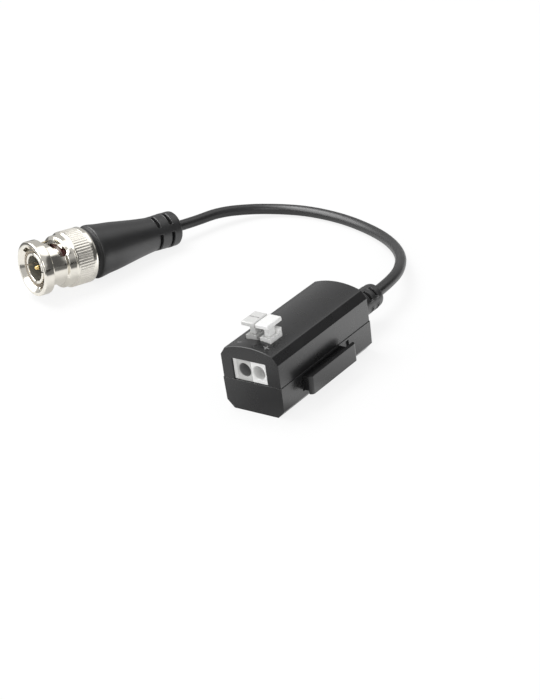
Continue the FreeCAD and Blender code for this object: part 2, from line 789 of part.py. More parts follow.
def make_relief():
    wall_face = REAR - s.case_wall
    outline = [
        (s.cable_diameter / 2, RELIEF_INSIDE),
        (s.relief_flange_radius, RELIEF_INSIDE),
        (s.relief_flange_radius, wall_face - s.running_gap),
        (s.relief_neck_radius, wall_face - s.running_gap),
        (s.relief_neck_radius, REAR + s.running_gap),
        (s.relief_base_radius, REAR + s.running_gap),
        (s.relief_base_radius, REAR + s.relief_base_length),
        (s.relief_tip_radius, RELIEF_END - s.relief_tip_round),
        (s.relief_tip_radius - s.relief_tip_round, RELIEF_END),
        (0, RELIEF_END),
        (0, RELIEF_INSIDE + s.tail_bond),
        (s.cable_diameter / 2, RELIEF_INSIDE + s.tail_bond),
    ]
    relief = turned_body("relief_turned", outline)
    put(relief, 0, 0, s.cable_height)
    slots = slot_rows("relief_slot", RELIEF_END - s.relief_slot_end_gap, s.relief_slot_pitch,
                      s.relief_slot_width, s.relief_slot_span,
                      (s.relief_slot_core, s.relief_base_radius * 2), SIZES["relief_slot_turn"])
    for sector in slots:
        bind(sector, "Placement.Base.z", s.cable_height)
    return finish(cut("relief", relief, *slots), "cable_relief")


def slot_rows(name, last, pitch, width, span, depth, turn):
    """Short slots in rows round a tail, a quarter turn apart, with solid bridges between them."""
    sectors = []
    for number in range(SLOTS_IN_ROW):
        slots = []
        for row in range(SLOT_ROWS):
            place = last - pitch * row
            slots.append(box(f"{name}_{number}_{row}", (-span / 2, span / 2), (place, place + width),
                             depth))
        sector = group(f"{name}_sector_{number}", *slots)
        angle = turn + number * 360 / SLOTS_IN_ROW
        sector.Placement = Placement(Vector(), Rotation(Vector(0, 1, 0), angle))
        sectors.append(sector)
    return sectors


# Plug: every piece is made along its own Y axis and carried by one frame

def make_plug_frame():
    """The plug lies on the knurled nut and the tail of its boot, which sets its tilt and height."""
    drop = s.nut_knurl_radius.number - s.boot_tail_radius.number
    tilt = math.atan(drop / (s.boot_contact_place.number - s.nut_length.number))
    height = s.nut_knurl_radius.number * math.cos(tilt) + s.nut_length.number * math.sin(tilt)
    heading = Rotation(Vector(0, 0, 1), -SIZES["plug_heading"])
    frame = doc.addObject("Part::Plane", "PlugFrame")
    turn = heading * Rotation(Vector(1, 0, 0), -math.degrees(tilt))
    frame.Placement = Placement(Vector(0, 0, height), turn)
    bind(frame, "Placement.Base.x", s.plug_x)
    bind(frame, "Placement.Base.y", s.plug_y)
    return frame


plug_frame = make_plug_frame()


def on_plug(obj, label):
    obj.setExpression("Placement", "PlugFrame.Placement")
    return finish(obj, label)


def ring_sector(name, inner, outer, start, length):
    """A plain ring around the plug's axis."""
    rim = cylinder(f"{name}_rim", "y", outer, length, (0, start, 0))
    hole = cylinder(f"{name}_hole", "y", inner, length + 2, (0, start - 1, 0))
    return cut(name, rim, hole)


def make_coupling_nut():
    """Bayonet nut: flange with a coned mouth, neck with two ramp slots, and a knurled grip."""
    barrel_side = s.barrel_radius + s.running_gap
    outline = [
        (s.nut_mouth_radius, 0),
        (s.nut_flange_radius - s.edge_break, 0),
        (s.nut_flange_radius, s.edge_break),
        (s.nut_flange_radius, s.nut_flange_length),
        (s.nut_neck_radius, s.nut_flange_length + s.nut_neck_blend),
        (s.nut_neck_radius, s.nut_shoulder_start),
        (s.nut_shoulder_radius, s.nut_shoulder_start + s.nut_neck_blend),
        (s.nut_shoulder_radius, s.nut_knurl_start),
        (s.nut_knurl_radius, s.nut_knurl_start + s.edge_break),
        (s.nut_knurl_radius, s.nut_length - s.edge_break),
        (s.nut_knurl_radius - s.edge_break, s.nut_length),
        (s.nut_rear_radius, s.nut_length),
        (s.nut_rear_radius, s.nut_lip_end),
        (barrel_side, s.nut_lip_end),
        (barrel_side, s.nut_lip_start),
        (s.nut_chamber_radius, s.nut_lip_start),
        (s.nut_chamber_radius, s.nut_chamber_start),
        (s.nut_bore_radius, s.nut_chamber_start),
        (s.nut_bore_radius, s.nut_mouth_depth),
    ]
    turned = turned_body("nut_turned", outline)
    add_knurl(turned)
    tools = bayonet_track("top", SIZES["ramp_turn"]) + bayonet_track("bottom", SIZES["ramp_turn"] + 180)
    return on_plug(cut("nut", turned, *tools), "coupling_nut")


def add_knurl(body):
    """Straight V grooves round the grip, as one pocket repeated about the axis."""
    half = s.nut_knurl_radius * (math.pi * KNURL_SHARE / SIZES["knurl_count"])
    outside = s.nut_knurl_radius + s.knurl_depth
    outline = [(-half, outside), (0, s.nut_knurl_radius - s.knurl_depth), (half, outside)]
    sketch = sketch_in(body, "XZ_Plane", outline)
    bind(sketch, "AttachmentOffset.Base.z", -s.knurl_band_start)
    pocket = body.newObject("PartDesign::Pocket", "knurl_groove")
    pocket.Profile = sketch
    bind(pocket, "Length", s.knurl_band_end - s.knurl_band_start)
    pattern = body.newObject("PartDesign::PolarPattern", "knurl")
    pattern.Originals = [pocket]
    axis = next(part for part in body.Origin.OriginFeatures if part.Role == "Y_Axis")
    pattern.Axis = (axis, [""])
    pattern.Angle = 360
    pattern.setExpression("Occurrences", s.knurl_count.text)
    body.Tip = pattern


KNURL_SHARE = 1.5
TRACK_STEPS = 12


def bayonet_track(side, turn):
    """Entry channel from the front, then a ramp slot that curves round the neck to a round seat."""
    half = s.entry_width / 2
    channel = box(f"entry_channel_{side}", (-half, half), (-1, s.ramp_start + half), (0, s.entry_radius))
    turned_channel = group(f"entry_{side}", channel)
    turned_channel.Placement = Placement(Vector(), Rotation(Vector(0, 1, 0), turn))
    pieces = [turned_channel]
    for step in range(TRACK_STEPS + 1):
        share = step / TRACK_STEPS
        peg = cylinder(f"ramp_{side}_{step}", "z", half, s.nut_knurl_radius + 1, (0, 0, 0))
        peg.Placement = Placement(Vector(), Rotation(Vector(0, 1, 0), turn + SIZES["ramp_sweep"] * share))
        bind(peg, "Placement.Base.y", s.ramp_start + half + s.ramp_rise * share)
        pieces.append(peg)
    return pieces


def make_plug_shell():
    """Turned shell: slotted outer contact, flange, barrel and crimp neck in one piece."""
    flange_end = s.shell_flange_start + s.shell_flange_length
    groove_start = s.nut_lip_end + s.running_gap
    groove_end = groove_start + s.ring_thickness
    groove_radius = s.barrel_radius - s.ring_groove_depth
    outline = [
        (s.contact_bore_radius, s.contact_front),
        (s.contact_radius, s.contact_front),
        (s.contact_radius, s.shell_flange_start),
        (s.shell_flange_radius, s.shell_flange_start),
        (s.shell_flange_radius, flange_end),
        (s.barrel_radius, flange_end),
        (s.barrel_radius, groove_start),
        (groove_radius, groove_start),
        (groove_radius, groove_end),
        (s.barrel_radius, groove_end),
        (s.barrel_radius, s.barrel_end),
        (s.crimp_neck_radius, s.barrel_end),
        (s.crimp_neck_radius, s.crimp_neck_end),
        (s.crimp_bore_radius, s.crimp_neck_end),
        (s.crimp_bore_radius, s.insulator_end),
        (s.insulator_radius, s.insulator_end),
        (s.insulator_radius, s.shell_flange_start),
        (s.contact_bore_radius, s.shell_flange_start),
    ]
    turned = turned_body("shell_turned", outline)
    half = s.contact_slot_width / 2
    reach = s.contact_radius + 1
    upright = box("contact_slot_upright", (-half, half), (0, s.contact_front + s.contact_slot_length),
                  (-reach, reach))
    level = box("contact_slot_level", (-reach, reach), (0, s.contact_front + s.contact_slot_length),
                (-half, half))
    return on_plug(cut("shell", turned, upright, level), "plug_shell")


def make_insulator():
    gap = s.running_gap / 2
    outline = [
        (s.pin_radius, s.insulator_front),
        (s.contact_bore_radius - gap, s.insulator_front),
        (s.contact_bore_radius - gap, s.shell_flange_start - gap),
        (s.insulator_radius - gap, s.shell_flange_start - gap),
        (s.insulator_radius - gap, s.insulator_end - gap),
        (s.pin_collar_radius, s.insulator_end - gap),
        (s.pin_collar_radius, s.pin_collar_start),
        (s.pin_radius, s.pin_collar_start),
    ]
    return on_plug(turned_body("insulator_turned", outline), "plug_insulator")


def make_centre_contact():
    gap = s.running_gap / 2
    outline = [
        (0, s.pin_tip),
        (s.pin_radius / 2, s.pin_tip),
        (s.pin_radius - gap, s.pin_tip + s.pin_radius),
        (s.pin_radius - gap, s.pin_collar_start + gap),
        (s.pin_collar_radius - gap, s.pin_collar_start + gap),
        (s.pin_collar_radius - gap, s.insulator_end - gap * 2),
        (s.crimp_bore_radius - gap * 2, s.insulator_end - gap * 2),
        (s.crimp_bore_radius - gap * 2, s.barrel_end),
        (0, s.barrel_end),
    ]
    return on_plug(turned_body("contact_turned", outline), "centre_contact")


def make_gasket():
    ring = ring_sector("gasket", s.gasket_inner_radius, s.gasket_outer_radius,
                       s.shell_flange_start - s.gasket_length, s.gasket_length)
    return on_plug(ring, "sealing_gasket")


def make_washers():
    """A wave washer between the flange and a flat washer that bears on the nut's inner lip."""
    flat_start = s.nut_lip_start - s.washer_thickness
    inner = s.barrel_radius + s.running_gap
    outer = s.nut_chamber_radius - s.washer_side_gap
    flat = ring_sector("flat_ring", inner, outer, flat_start, s.washer_thickness)
    on_plug(flat, "flat_washer")
    start = s.shell_flange_start + s.shell_flange_length + s.running_gap
    height = flat_start - s.running_gap - start
    wave = doc.addObject("Part::Feature", "wave_ring")
    wave.Shape = wave_ring(inner.number, outer.number, start.number, height.number, s.wave_thickness.number)
    on_plug(wave, "wave_washer")


WAVES = 3


def wave_ring(inner, outer, start, height, thickness):
    """A thin ring whose face rises and falls three times round the axis, cut from a tube by two waves."""
    swing = (height - thickness) / 2
    steps = WAVES * 8

    def wave_face(offset):
        rails = []
        for radius in (inner * 0.9, outer * 1.1):
            points = []
            for step in range(steps):
                angle = 2 * math.pi * step / steps
                points.append(Vector(radius * math.cos(angle), offset + swing * math.cos(WAVES * angle),
                                     radius * math.sin(angle)))
            curve = Part.BSplineCurve()
            curve.interpolate(points, PeriodicFlag=True)
            rails.append(curve.toShape())
        return Part.makeRuledSurface(rails[0], rails[1])

    face = wave_face(start + swing)
    solid = face.extrude(Vector(0, thickness, 0))
    tube_outer = Part.makeCylinder(outer, height + 2, Vector(0, start - 1, 0), Vector(0, 1, 0))
    tube_inner = Part.makeCylinder(inner, height + 2, Vector(0, start - 1, 0), Vector(0, 1, 0))
    return solid.common(tube_outer.cut(tube_inner))


def make_retaining_ring():
    """Split ring in the barrel's groove, which stops the nut from coming off backwards."""
    start = s.nut_lip_end + s.running_gap
    ring = ring_sector("ring", s.barrel_radius - s.ring_groove_depth, s.ring_outer_radius, start,
                       s.ring_thickness)
    split = box("ring_split", (-s.ring_split / 2, s.ring_split / 2),
                (start - 1, start + s.ring_thickness + 1), (-s.ring_outer_radius - 1, 0))
    return on_plug(cut("ring_cut", ring, split), "retaining_ring")


FERRULE_BORE = s.crimp_neck_radius + s.running_gap


def make_ferrule():
    start = s.barrel_end + s.running_gap
    ferrule = ring_sector("ferrule", FERRULE_BORE, FERRULE_BORE + s.ferrule_thickness, start,
                          s.ferrule_end - start)
    return on_plug(ferrule, "crimp_ferrule")


def make_boot():
    """Moulded boot: front collar, long taper and a slotted tail round the cable."""
    ferrule_side = FERRULE_BORE + s.ferrule_thickness + s.running_gap
    cable_side = s.cable_diameter / 2
    collar_end = s.boot_front + s.boot_collar_length
    outline = [
        (s.barrel_radius + s.running_gap, s.boot_front),
        (s.boot_collar_radius, s.boot_front),
        (s.boot_collar_radius, collar_end),
        (s.boot_radius, collar_end + s.boot_radius - s.boot_collar_radius),
        (s.boot_radius, s.boot_straight_end),
        (s.boot_knee_radius, s.boot_knee_place),
        (s.boot_hip_radius, s.boot_hip_place),
        (s.boot_waist_radius, s.boot_waist_place),
        (s.boot_tail_radius, s.boot_tail_place),
        (s.boot_tail_radius, s.boot_contact_place),
        (s.boot_tail_radius - s.boot_tail_round, s.boot_length),
        (0, s.boot_length),
        (0, s.boot_length - s.tail_bond),
        (cable_side, s.boot_length - s.tail_bond),
        (cable_side, s.ferrule_end + s.running_gap),
        (ferrule_side, s.ferrule_end + s.running_gap),
        (ferrule_side, s.barrel_end + s.running_gap),
        (s.barrel_radius + s.running_gap, s.barrel_end + s.running_gap),
    ]
    turned = turned_body("boot_turned", outline)
    slots = slot_rows("boot_slot", s.boot_length - s.boot_slot_end_gap, s.boot_slot_pitch,
                      s.boot_slot_width, s.boot_slot_span, (s.boot_slot_core, s.boot_radius),
                      SIZES["boot_slot_turn"])
    return on_plug(cut("boot", turned, *slots), "plug_boot")


# Coax inside the boot and the case, and the free cable between them

def make_coax_ends():
    jacket = cylinder("plug_jacket", "y", s.cable_diameter / 2,
                      s.boot_length - s.tail_bond - s.ferrule_end - s.running_gap * 2,
                      (0, s.ferrule_end + s.running_gap * 2, 0))
    core = cylinder("plug_core", "y", s.dielectric_radius, s.ferrule_end - s.barrel_end + s.tail_bond,
                    (0, s.barrel_end + s.running_gap, 0))
    on_plug(fuse("plug_coax", jacket, core), "coax_plug_end")
    jacket_end = cylinder("case_jacket", "y", s.cable_diameter / 2, s.tail_bond,
                          (0, RELIEF_INSIDE, s.cable_height))
    core_end = cylinder("case_core", "y", s.dielectric_radius, s.coax_strip + s.tail_bond / 2,
                        (0, RELIEF_INSIDE - s.coax_strip, s.cable_height))
    finish(fuse("case_coax", jacket_end, core_end), "coax_case_end")
    strip_face = (RELIEF_INSIDE - s.coax_strip).number
    height = s.cable_height.number
    wire = s.inner_wire_diameter.number
    pad = BOARD_TOP.number + wire / 2 + PAD_GAP
    tube("centre_wire", [
        Vector(0, strip_face, height),
        Vector(0, strip_face - 0.9, height),
        Vector(0, strip_face - 2.0, pad),
        Vector(0.2, strip_face - 3.4, pad),
    ], wire)
    braid = s.braid_tail_diameter.number
    side = s.dielectric_radius.number + braid / 2 + 0.1
    inside = RELIEF_INSIDE.number
    low = BOARD_TOP.number + braid / 2 + PAD_GAP
    tube("braid_tail", [
        Vector(side, inside, height),
        Vector(side, inside - 1.2, height),
        Vector(side + 1.0, inside - 2.6, low + 0.1),
        Vector(side + 1.6, inside - 4.2, low),
    ], braid)


# Route of the free cable: the points between the case relief and the boot, as it lies in its loop
CABLE_ROUTE = [
    (0.0, 40.0, 6.5),
    (-5.4, 51.3, 4.8),
    (-12.1, 60.0, 3.0),
    (-19.8, 66.7, 2.0),
    (-28.8, 71.6, 1.5),
    (-39.3, 74.8, 1.5),
    (-50.2, 75.8, 1.5),
    (-58.5, 74.3, 1.6),
    (-65.8, 69.9, 2.4),
    (-70.7, 62.8, 3.7),
]
BOOT_RUN = 6.4


def make_cable():
    turn = plug_frame.Placement.Rotation
    boot_end = plug_frame.Placement.multVec(Vector(0, s.boot_length.number, 0))
    points = [Vector(0, RELIEF_END.number, s.cable_height.number)]
    points += [Vector(*point) for point in CABLE_ROUTE]
    points.append(boot_end + turn.multVec(Vector(0, BOOT_RUN, 0)))
    points.append(boot_end)
    print("cable route", [tuple(round(value, 2) for value in point) for point in points])
    print("plug at", plug_frame.Placement.Base, "axis", turn.multVec(Vector(0, 1, 0)))
    return tube("coax_cable", points, s.cable_diameter.number)


make_upper_shell()
make_lower_shell()
for pole_sign, pole_centre in POLES.items():
    make_pole(pole_sign, pole_centre)
    make_contact(pole_sign, pole_centre)
    make_clamp(pole_sign, pole_centre)
    make_lever(pole_sign, pole_centre)
make_end_plate()
make_board()
make_core()
make_winding("primary_winding", 10)
make_winding("secondary_winding", 190)
make_suppressor()
make_chips("chip_capacitors", s.capacitor_side)
make_chips("chip_resistors", s.resistor_side)
make_relief()
make_coupling_nut()
make_plug_shell()
make_insulator()
make_centre_contact()
make_gasket()
make_washers()
make_retaining_ring()
make_ferrule()
make_boot()
make_coax_ends()
doc.recompute()
make_cable()
doc.recompute()

NODES = [
    "upper_shell", "lower_shell", "terminal_pole_minus", "terminal_pole_plus", "terminal_end_plate",
    "push_lever_minus", "push_lever_plus", "clamp_spring_minus", "clamp_spring_plus",
    "current_bar_minus", "current_bar_plus", "circuit_board", "ferrite_core", "primary_winding",
    "secondary_winding", "surge_suppressor", "chip_capacitors", "chip_resistors", "coax_case_end",
    "centre_wire", "braid_tail", "cable_relief", "coax_cable", "plug_boot", "crimp_ferrule",
    "coax_plug_end", "plug_shell", "plug_insulator", "centre_contact", "sealing_gasket", "wave_washer",
    "flat_washer", "retaining_ring", "coupling_nut",
]

for obj in doc.Objects:
    if "Invalid" in obj.State or "Error" in obj.State:
        raise RuntimeError(f"{obj.Label} failed: {obj.State}")

os.makedirs("parts", exist_ok=True)
for node in NODES:
    piece = doc.getObjectsByLabel(node)[0]
    if piece.Shape.isNull() or not piece.Shape.isValid():
        raise RuntimeError(f"{node} has no valid shape")
    piece.Shape.exportStep(os.path.join("parts", f"{node}.step"))
    solids = len(piece.Shape.Solids)
    print(f"{node}: {solids} solid(s), {piece.Shape.Volume:.2f} cubic mm")
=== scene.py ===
"""Looks of the video balun: the case, its push terminal, and the coax pigtail with its bayonet plug."""
import math

import bmesh
import bpy
from mathutils import Matrix, Vector


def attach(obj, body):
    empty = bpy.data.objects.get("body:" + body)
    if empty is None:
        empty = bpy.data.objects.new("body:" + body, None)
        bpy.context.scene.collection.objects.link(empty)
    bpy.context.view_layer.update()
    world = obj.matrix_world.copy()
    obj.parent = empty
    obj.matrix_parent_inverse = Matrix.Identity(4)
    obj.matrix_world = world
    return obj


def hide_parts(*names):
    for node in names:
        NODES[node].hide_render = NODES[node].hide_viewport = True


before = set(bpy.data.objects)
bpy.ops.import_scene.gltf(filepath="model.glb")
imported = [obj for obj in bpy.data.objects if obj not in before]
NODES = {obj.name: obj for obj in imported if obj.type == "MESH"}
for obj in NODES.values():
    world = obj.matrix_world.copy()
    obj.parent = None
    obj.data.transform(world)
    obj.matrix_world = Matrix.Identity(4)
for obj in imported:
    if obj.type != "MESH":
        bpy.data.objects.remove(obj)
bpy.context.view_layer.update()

MM = 0.001

# Camera: where it stands round the case, how far off, how it is tilted, and what it aims at.
# AIM_RIGHT and AIM_UP move it within its own picture plane. Lengths are in millimetres, and the
# clip distances in metres.
AZIMUTH = math.radians(39.54)
ELEVATION = math.radians(26.74)
ROLL = math.radians(-8.2)
CAMERA_DISTANCE = 433.1
AIM = Vector((0.0, 1.85, 7.7))
AIM_RIGHT = -7.263
AIM_UP = -1.472
SENSOR = 36.0
LENS = 99.886
CLIP_START = 0.01
CLIP_END = 20.0

# Plug: the middle of its front face, and how its axis is turned
PLUG_FRONT = Vector((-87.65, 8.0, 8.6843))
PLUG_HEADING = math.radians(-17.28)
PLUG_TILT = math.radians(-5.5431)
PLUG = (Matrix.Translation(PLUG_FRONT) @ Matrix.Rotation(PLUG_HEADING, 4, "Z")
        @ Matrix.Rotation(PLUG_TILT, 4, "X"))

# Cable: its sizes, how finely it is drawn, and the points of its route
CABLE_DIAMETER = 2.8
CABLE_SIDES = 8
CABLE_STEPS = 24
CABLE_ROUTE = [
    (0.0, 31.0, 6.5),
    (0.0, 40.0, 6.5),
    (-5.4, 51.3, 4.8),
    (-12.1, 60.0, 3.0),
    (-19.8, 66.7, 2.0),
    (-28.8, 71.6, 1.5),
    (-39.3, 74.8, 1.5),
    (-50.2, 75.8, 1.5),
    (-58.5, 74.3, 1.6),
    (-65.8, 69.9, 2.4),
    (-70.7, 62.8, 3.7),
    (-72.99, 55.14, 3.89),
    (-74.88, 49.06, 4.51),
]
# Relief: its axis runs along the case at the height where the cable leaves it
RELIEF = Matrix.Translation(Vector((0.0, 0.0, CABLE_ROUTE[0][2])))

# Terminal: its front face, and the two wire entries (across, up, radius)
TERMINAL_FRONT = -17.1
ENTRY_MINUS = (-1.805, 10.05, 1.5)
ENTRY_PLUS = (2.005, 10.05, 1.5)


# Camera

def make_camera():
    right = Vector((math.cos(AZIMUTH), math.sin(AZIMUTH), 0.0))
    back = Vector((math.sin(AZIMUTH) * math.cos(ELEVATION), -math.cos(AZIMUTH) * math.cos(ELEVATION),
                   math.sin(ELEVATION)))
    up = back.cross(right)
    rolled_right = right * math.cos(ROLL) + up * math.sin(ROLL)
    rolled_up = up * math.cos(ROLL) - right * math.sin(ROLL)
    place = AIM + back * CAMERA_DISTANCE + rolled_right * AIM_RIGHT + rolled_up * AIM_UP
    data = bpy.data.cameras.new("camera")
    data.sensor_fit = "VERTICAL"
    data.sensor_height = SENSOR
    data.lens = LENS
    data.clip_start = CLIP_START
    data.clip_end = CLIP_END
    camera = bpy.data.objects.new("camera", data)
    camera.matrix_world = Matrix((
        (rolled_right.x, rolled_up.x, back.x, place.x * MM),
        (rolled_right.y, rolled_up.y, back.y, place.y * MM),
        (rolled_right.z, rolled_up.z, back.z, place.z * MM),
        (0, 0, 0, 1),
    ))
    bpy.context.scene.collection.objects.link(camera)
    bpy.context.scene.camera = camera


make_camera()


# Materials: a broad mottling, BROAD_GRAINS times as coarse as the grain, and a fine relief of
# GRAIN_RELIEF times its size

BROAD_GRAINS = 8
BROAD_DETAIL = 4.0
FINE_DETAIL = 3.0
GRAIN_RELIEF = 0.1


def new_material(name, color, roughness, metallic=0.0, grain=0.0006, grain_bump=0.1, color_spread=0.12,
                 roughness_spread=0.06):
    """A surface whose colour, roughness and fine relief vary a little, as moulded or plated parts do."""
    material = bpy.data.materials.new(name)
    material.use_nodes = True
    nodes = material.node_tree.nodes
    links = material.node_tree.links
    shader = nodes["Principled BSDF"]
    shader.inputs["Metallic"].default_value = metallic
    coords = nodes.new("ShaderNodeTexCoord")
    broad = nodes.new("ShaderNodeTexNoise")
    broad.inputs["Scale"].default_value = 1 / (grain * BROAD_GRAINS)
    broad.inputs["Detail"].default_value = BROAD_DETAIL
    links.new(coords.outputs["Object"], broad.inputs["Vector"])
    fine = nodes.new("ShaderNodeTexNoise")
    fine.inputs["Scale"].default_value = 1 / grain
    fine.inputs["Detail"].default_value = FINE_DETAIL
    links.new(coords.outputs["Object"], fine.inputs["Vector"])
    tint = nodes.new("ShaderNodeMix")
    tint.name = "tint"
    tint.data_type = "RGBA"
    tint.inputs["A"].default_value = (*[c * (1 - color_spread) for c in color], 1)
    tint.inputs["B"].default_value = (*[min(1, c * (1 + color_spread)) for c in color], 1)
    links.new(broad.outputs["Fac"], tint.inputs["Factor"])
    links.new(tint.outputs["Result"], shader.inputs["Base Color"])
    gloss = nodes.new("ShaderNodeMapRange")
    gloss.inputs["To Min"].default_value = roughness - roughness_spread
    gloss.inputs["To Max"].default_value = roughness + roughness_spread
    links.new(broad.outputs["Fac"], gloss.inputs["Value"])
    links.new(gloss.outputs["Result"], shader.inputs["Roughness"])
    bump = nodes.new("ShaderNodeBump")
    bump.inputs["Strength"].default_value = grain_bump
    bump.inputs["Distance"].default_value = grain * GRAIN_RELIEF
    links.new(fine.outputs["Fac"], bump.inputs["Height"])
    links.new(bump.outputs["Normal"], shader.inputs["Normal"])
    return material


# How far outside a bore's wall and how far behind its mouth its painted shade starts
BORE_MARGIN = 0.12
BORE_SET_BACK = 0.3


def shade_bore(material, entry, color):
    """Paints shade onto the wall of a wire entry, as a darker colour from just behind its mouth inwards."""
    across, height, radius = entry
    nodes = material.node_tree.nodes
    links = material.node_tree.links
    coords = nodes.new("ShaderNodeTexCoord")
    offset = nodes.new("ShaderNodeVectorMath")
    offset.operation = "SUBTRACT"
    offset.inputs[1].default_value = (across * MM, 0, height * MM)
    links.new(coords.outputs["Object"], offset.inputs[0])
    parts = nodes.new("ShaderNodeSeparateXYZ")
    links.new(offset.outputs["Vector"], parts.inputs[0])
    flat = nodes.new("ShaderNodeCombineXYZ")
    links.new(parts.outputs["X"], flat.inputs["X"])
    links.new(parts.outputs["Z"], flat.inputs["Z"])
    reach = nodes.new("ShaderNodeVectorMath")
    reach.operation = "LENGTH"
    links.new(flat.outputs["Vector"], reach.inputs[0])
    near = nodes.new("ShaderNodeMath")
    near.operation = "LESS_THAN"
    near.inputs[1].default_value = (radius + BORE_MARGIN) * MM
    links.new(reach.outputs["Value"], near.inputs[0])
    behind = nodes.new("ShaderNodeMath")
    behind.operation = "GREATER_THAN"
    behind.inputs[1].default_value = (TERMINAL_FRONT + BORE_SET_BACK) * MM
    links.new(parts.outputs["Y"], behind.inputs[0])
    inside = nodes.new("ShaderNodeMath")
    inside.operation = "MULTIPLY"
    links.new(near.outputs[0], inside.inputs[0])
    links.new(behind.outputs[0], inside.inputs[1])
    mix = nodes.new("ShaderNodeMix")
    mix.data_type = "RGBA"
    mix.inputs["B"].default_value = (*color, 1)
    links.new(inside.outputs[0], mix.inputs["Factor"])
    links.new(nodes["tint"].outputs["Result"], mix.inputs["A"])
    links.new(mix.outputs["Result"], nodes["Principled BSDF"].inputs["Base Color"])


BLACK_CASE = new_material("case_black", (0.0140, 0.0140, 0.0145), 0.28, grain=0.0004, grain_bump=0.12,
                          roughness_spread=0.04)
BLACK_BOOT = new_material("boot_black", (0.0160, 0.0160, 0.0165), 0.40, grain=0.0004, grain_bump=0.2)
# Painted shade: the boot's collar just behind the nut is made almost black, where the nut shades it
COLLAR_SHADE = new_material("collar_painted_shade", (0.0035, 0.0035, 0.0037), 0.6, grain=0.0004, grain_bump=0.2)
BLACK_JACKET = new_material("cable_black", (0.0125, 0.0125, 0.013), 0.38, grain=0.0005, grain_bump=0.15)
WHITE = new_material("terminal_white", (0.81, 0.81, 0.80), 0.38, grain=0.0005, grain_bump=0.08,
                     color_spread=0.02)
GREY = new_material("terminal_grey", (0.61, 0.61, 0.60), 0.38, grain=0.0005, grain_bump=0.08,
                    color_spread=0.03)
POLE_WHITE = new_material("pole_white", (0.81, 0.81, 0.80), 0.38, grain=0.0005, grain_bump=0.08,
                          color_spread=0.02)
POLE_GREY = new_material("pole_grey", (0.50, 0.50, 0.49), 0.38, grain=0.0005, grain_bump=0.08,
                         color_spread=0.03)
# The darker colour inside each wire entry is painted shade
shade_bore(POLE_GREY, ENTRY_MINUS, (0.21, 0.21, 0.21))
shade_bore(POLE_WHITE, ENTRY_PLUS, (0.74, 0.74, 0.73))
MARK = new_material("mark_grey", (0.17, 0.17, 0.17), 0.4, grain=0.0003, color_spread=0.2)
NICKEL = new_material("nickel", (0.80, 0.77, 0.70), 0.13, metallic=1.0, grain=0.0003, grain_bump=0.04,
                      color_spread=0.03, roughness_spread=0.03)
# Painted shade: a dark dull grey inside the contact's bore, deep in the plug's mouth
CONTACT_SHADE = new_material("contact_bore_painted_shade", (0.150, 0.145, 0.122), 0.42, grain=0.0004, color_spread=0.25)
KNURL_NICKEL = new_material("knurl_nickel", (0.84, 0.81, 0.74), 0.38, metallic=1.0, grain=0.0003,
                            grain_bump=0.04)
# Painted shade: a dull brown in place of the nickel inside the nut's mouth
NUT_MOUTH_SHADE = new_material("nut_mouth_painted_shade", (0.52, 0.47, 0.40), 0.5, grain=0.0004, grain_bump=0.08)
GOLD = new_material("gold_pin", (0.83, 0.60, 0.24), 0.2, metallic=1.0, grain=0.0003, grain_bump=0.03,
                    color_spread=0.05, roughness_spread=0.04)
# Painted shade: the insulator deep in the plug's mouth gets a dark grey-brown in place of its own pale colour
SHADED_INSULATOR = new_material("insulator_dark", (0.140, 0.135, 0.115), 0.45, color_spread=0.06)
GASKET = new_material("gasket_red", (0.050, 0.013, 0.012), 0.5, color_spread=0.15)
STEEL = new_material("spring_steel", (0.62, 0.62, 0.63), 0.24, metallic=1.0, color_spread=0.04)
TINNED = new_material("tinned_brass", (0.72, 0.70, 0.66), 0.28, metallic=1.0, color_spread=0.05)
COPPER = new_material("enamel_copper", (0.60, 0.22, 0.08), 0.25, metallic=1.0, color_spread=0.06)
RED_COPPER = new_material("enamel_red", (0.42, 0.05, 0.03), 0.25, metallic=0.6, color_spread=0.06)
BOARD = new_material("board_green", (0.02, 0.12, 0.05), 0.35, color_spread=0.15)
FERRITE = new_material("ferrite_dark", (0.035, 0.035, 0.038), 0.5, grain_bump=0.4, color_spread=0.25)
CHIP_DARK = new_material("chip_dark", (0.02, 0.02, 0.02), 0.45)
CHIP_BEIGE = new_material("chip_beige", (0.50, 0.36, 0.21), 0.4, color_spread=0.08)

NODE_MATERIALS = {
    "upper_shell": BLACK_CASE,
    "lower_shell": BLACK_CASE,
    "terminal_pole_minus": POLE_GREY,
    "terminal_pole_plus": POLE_WHITE,
    "terminal_end_plate": GREY,
    "push_lever_minus": GREY,
    "push_lever_plus": WHITE,
    "clamp_spring_minus": STEEL,
    "clamp_spring_plus": STEEL,
    "current_bar_minus": TINNED,
    "current_bar_plus": TINNED,
    "circuit_board": BOARD,
    "ferrite_core": FERRITE,
    "primary_winding": COPPER,
    "secondary_winding": RED_COPPER,
    "surge_suppressor": CHIP_DARK,
    "chip_capacitors": CHIP_BEIGE,
    "chip_resistors": CHIP_DARK,
    "coax_case_end": BLACK_JACKET,
    "centre_wire": TINNED,
    "braid_tail": TINNED,
    "cable_relief": BLACK_BOOT,
    "coax_cable": BLACK_JACKET,
    "plug_boot": BLACK_BOOT,
    "crimp_ferrule": NICKEL,
    "coax_plug_end": BLACK_JACKET,
    "plug_shell": NICKEL,
    "plug_insulator": SHADED_INSULATOR,
    "centre_contact": GOLD,
    "sealing_gasket": GASKET,
    "wave_washer": STEEL,
    "flat_washer": NICKEL,
    "retaining_ring": STEEL,
    "coupling_nut": NICKEL,
}


def paint(piece, material):
    if piece.data.materials:
        for index in range(len(piece.data.materials)):
            piece.data.materials[index] = material
    else:
        piece.data.materials.append(material)


WELD_DISTANCE = 1e-6
EDGE_SEGMENTS = 3
EDGE_ANGLE = math.radians(32)
FLAT_WEIGHT = 60


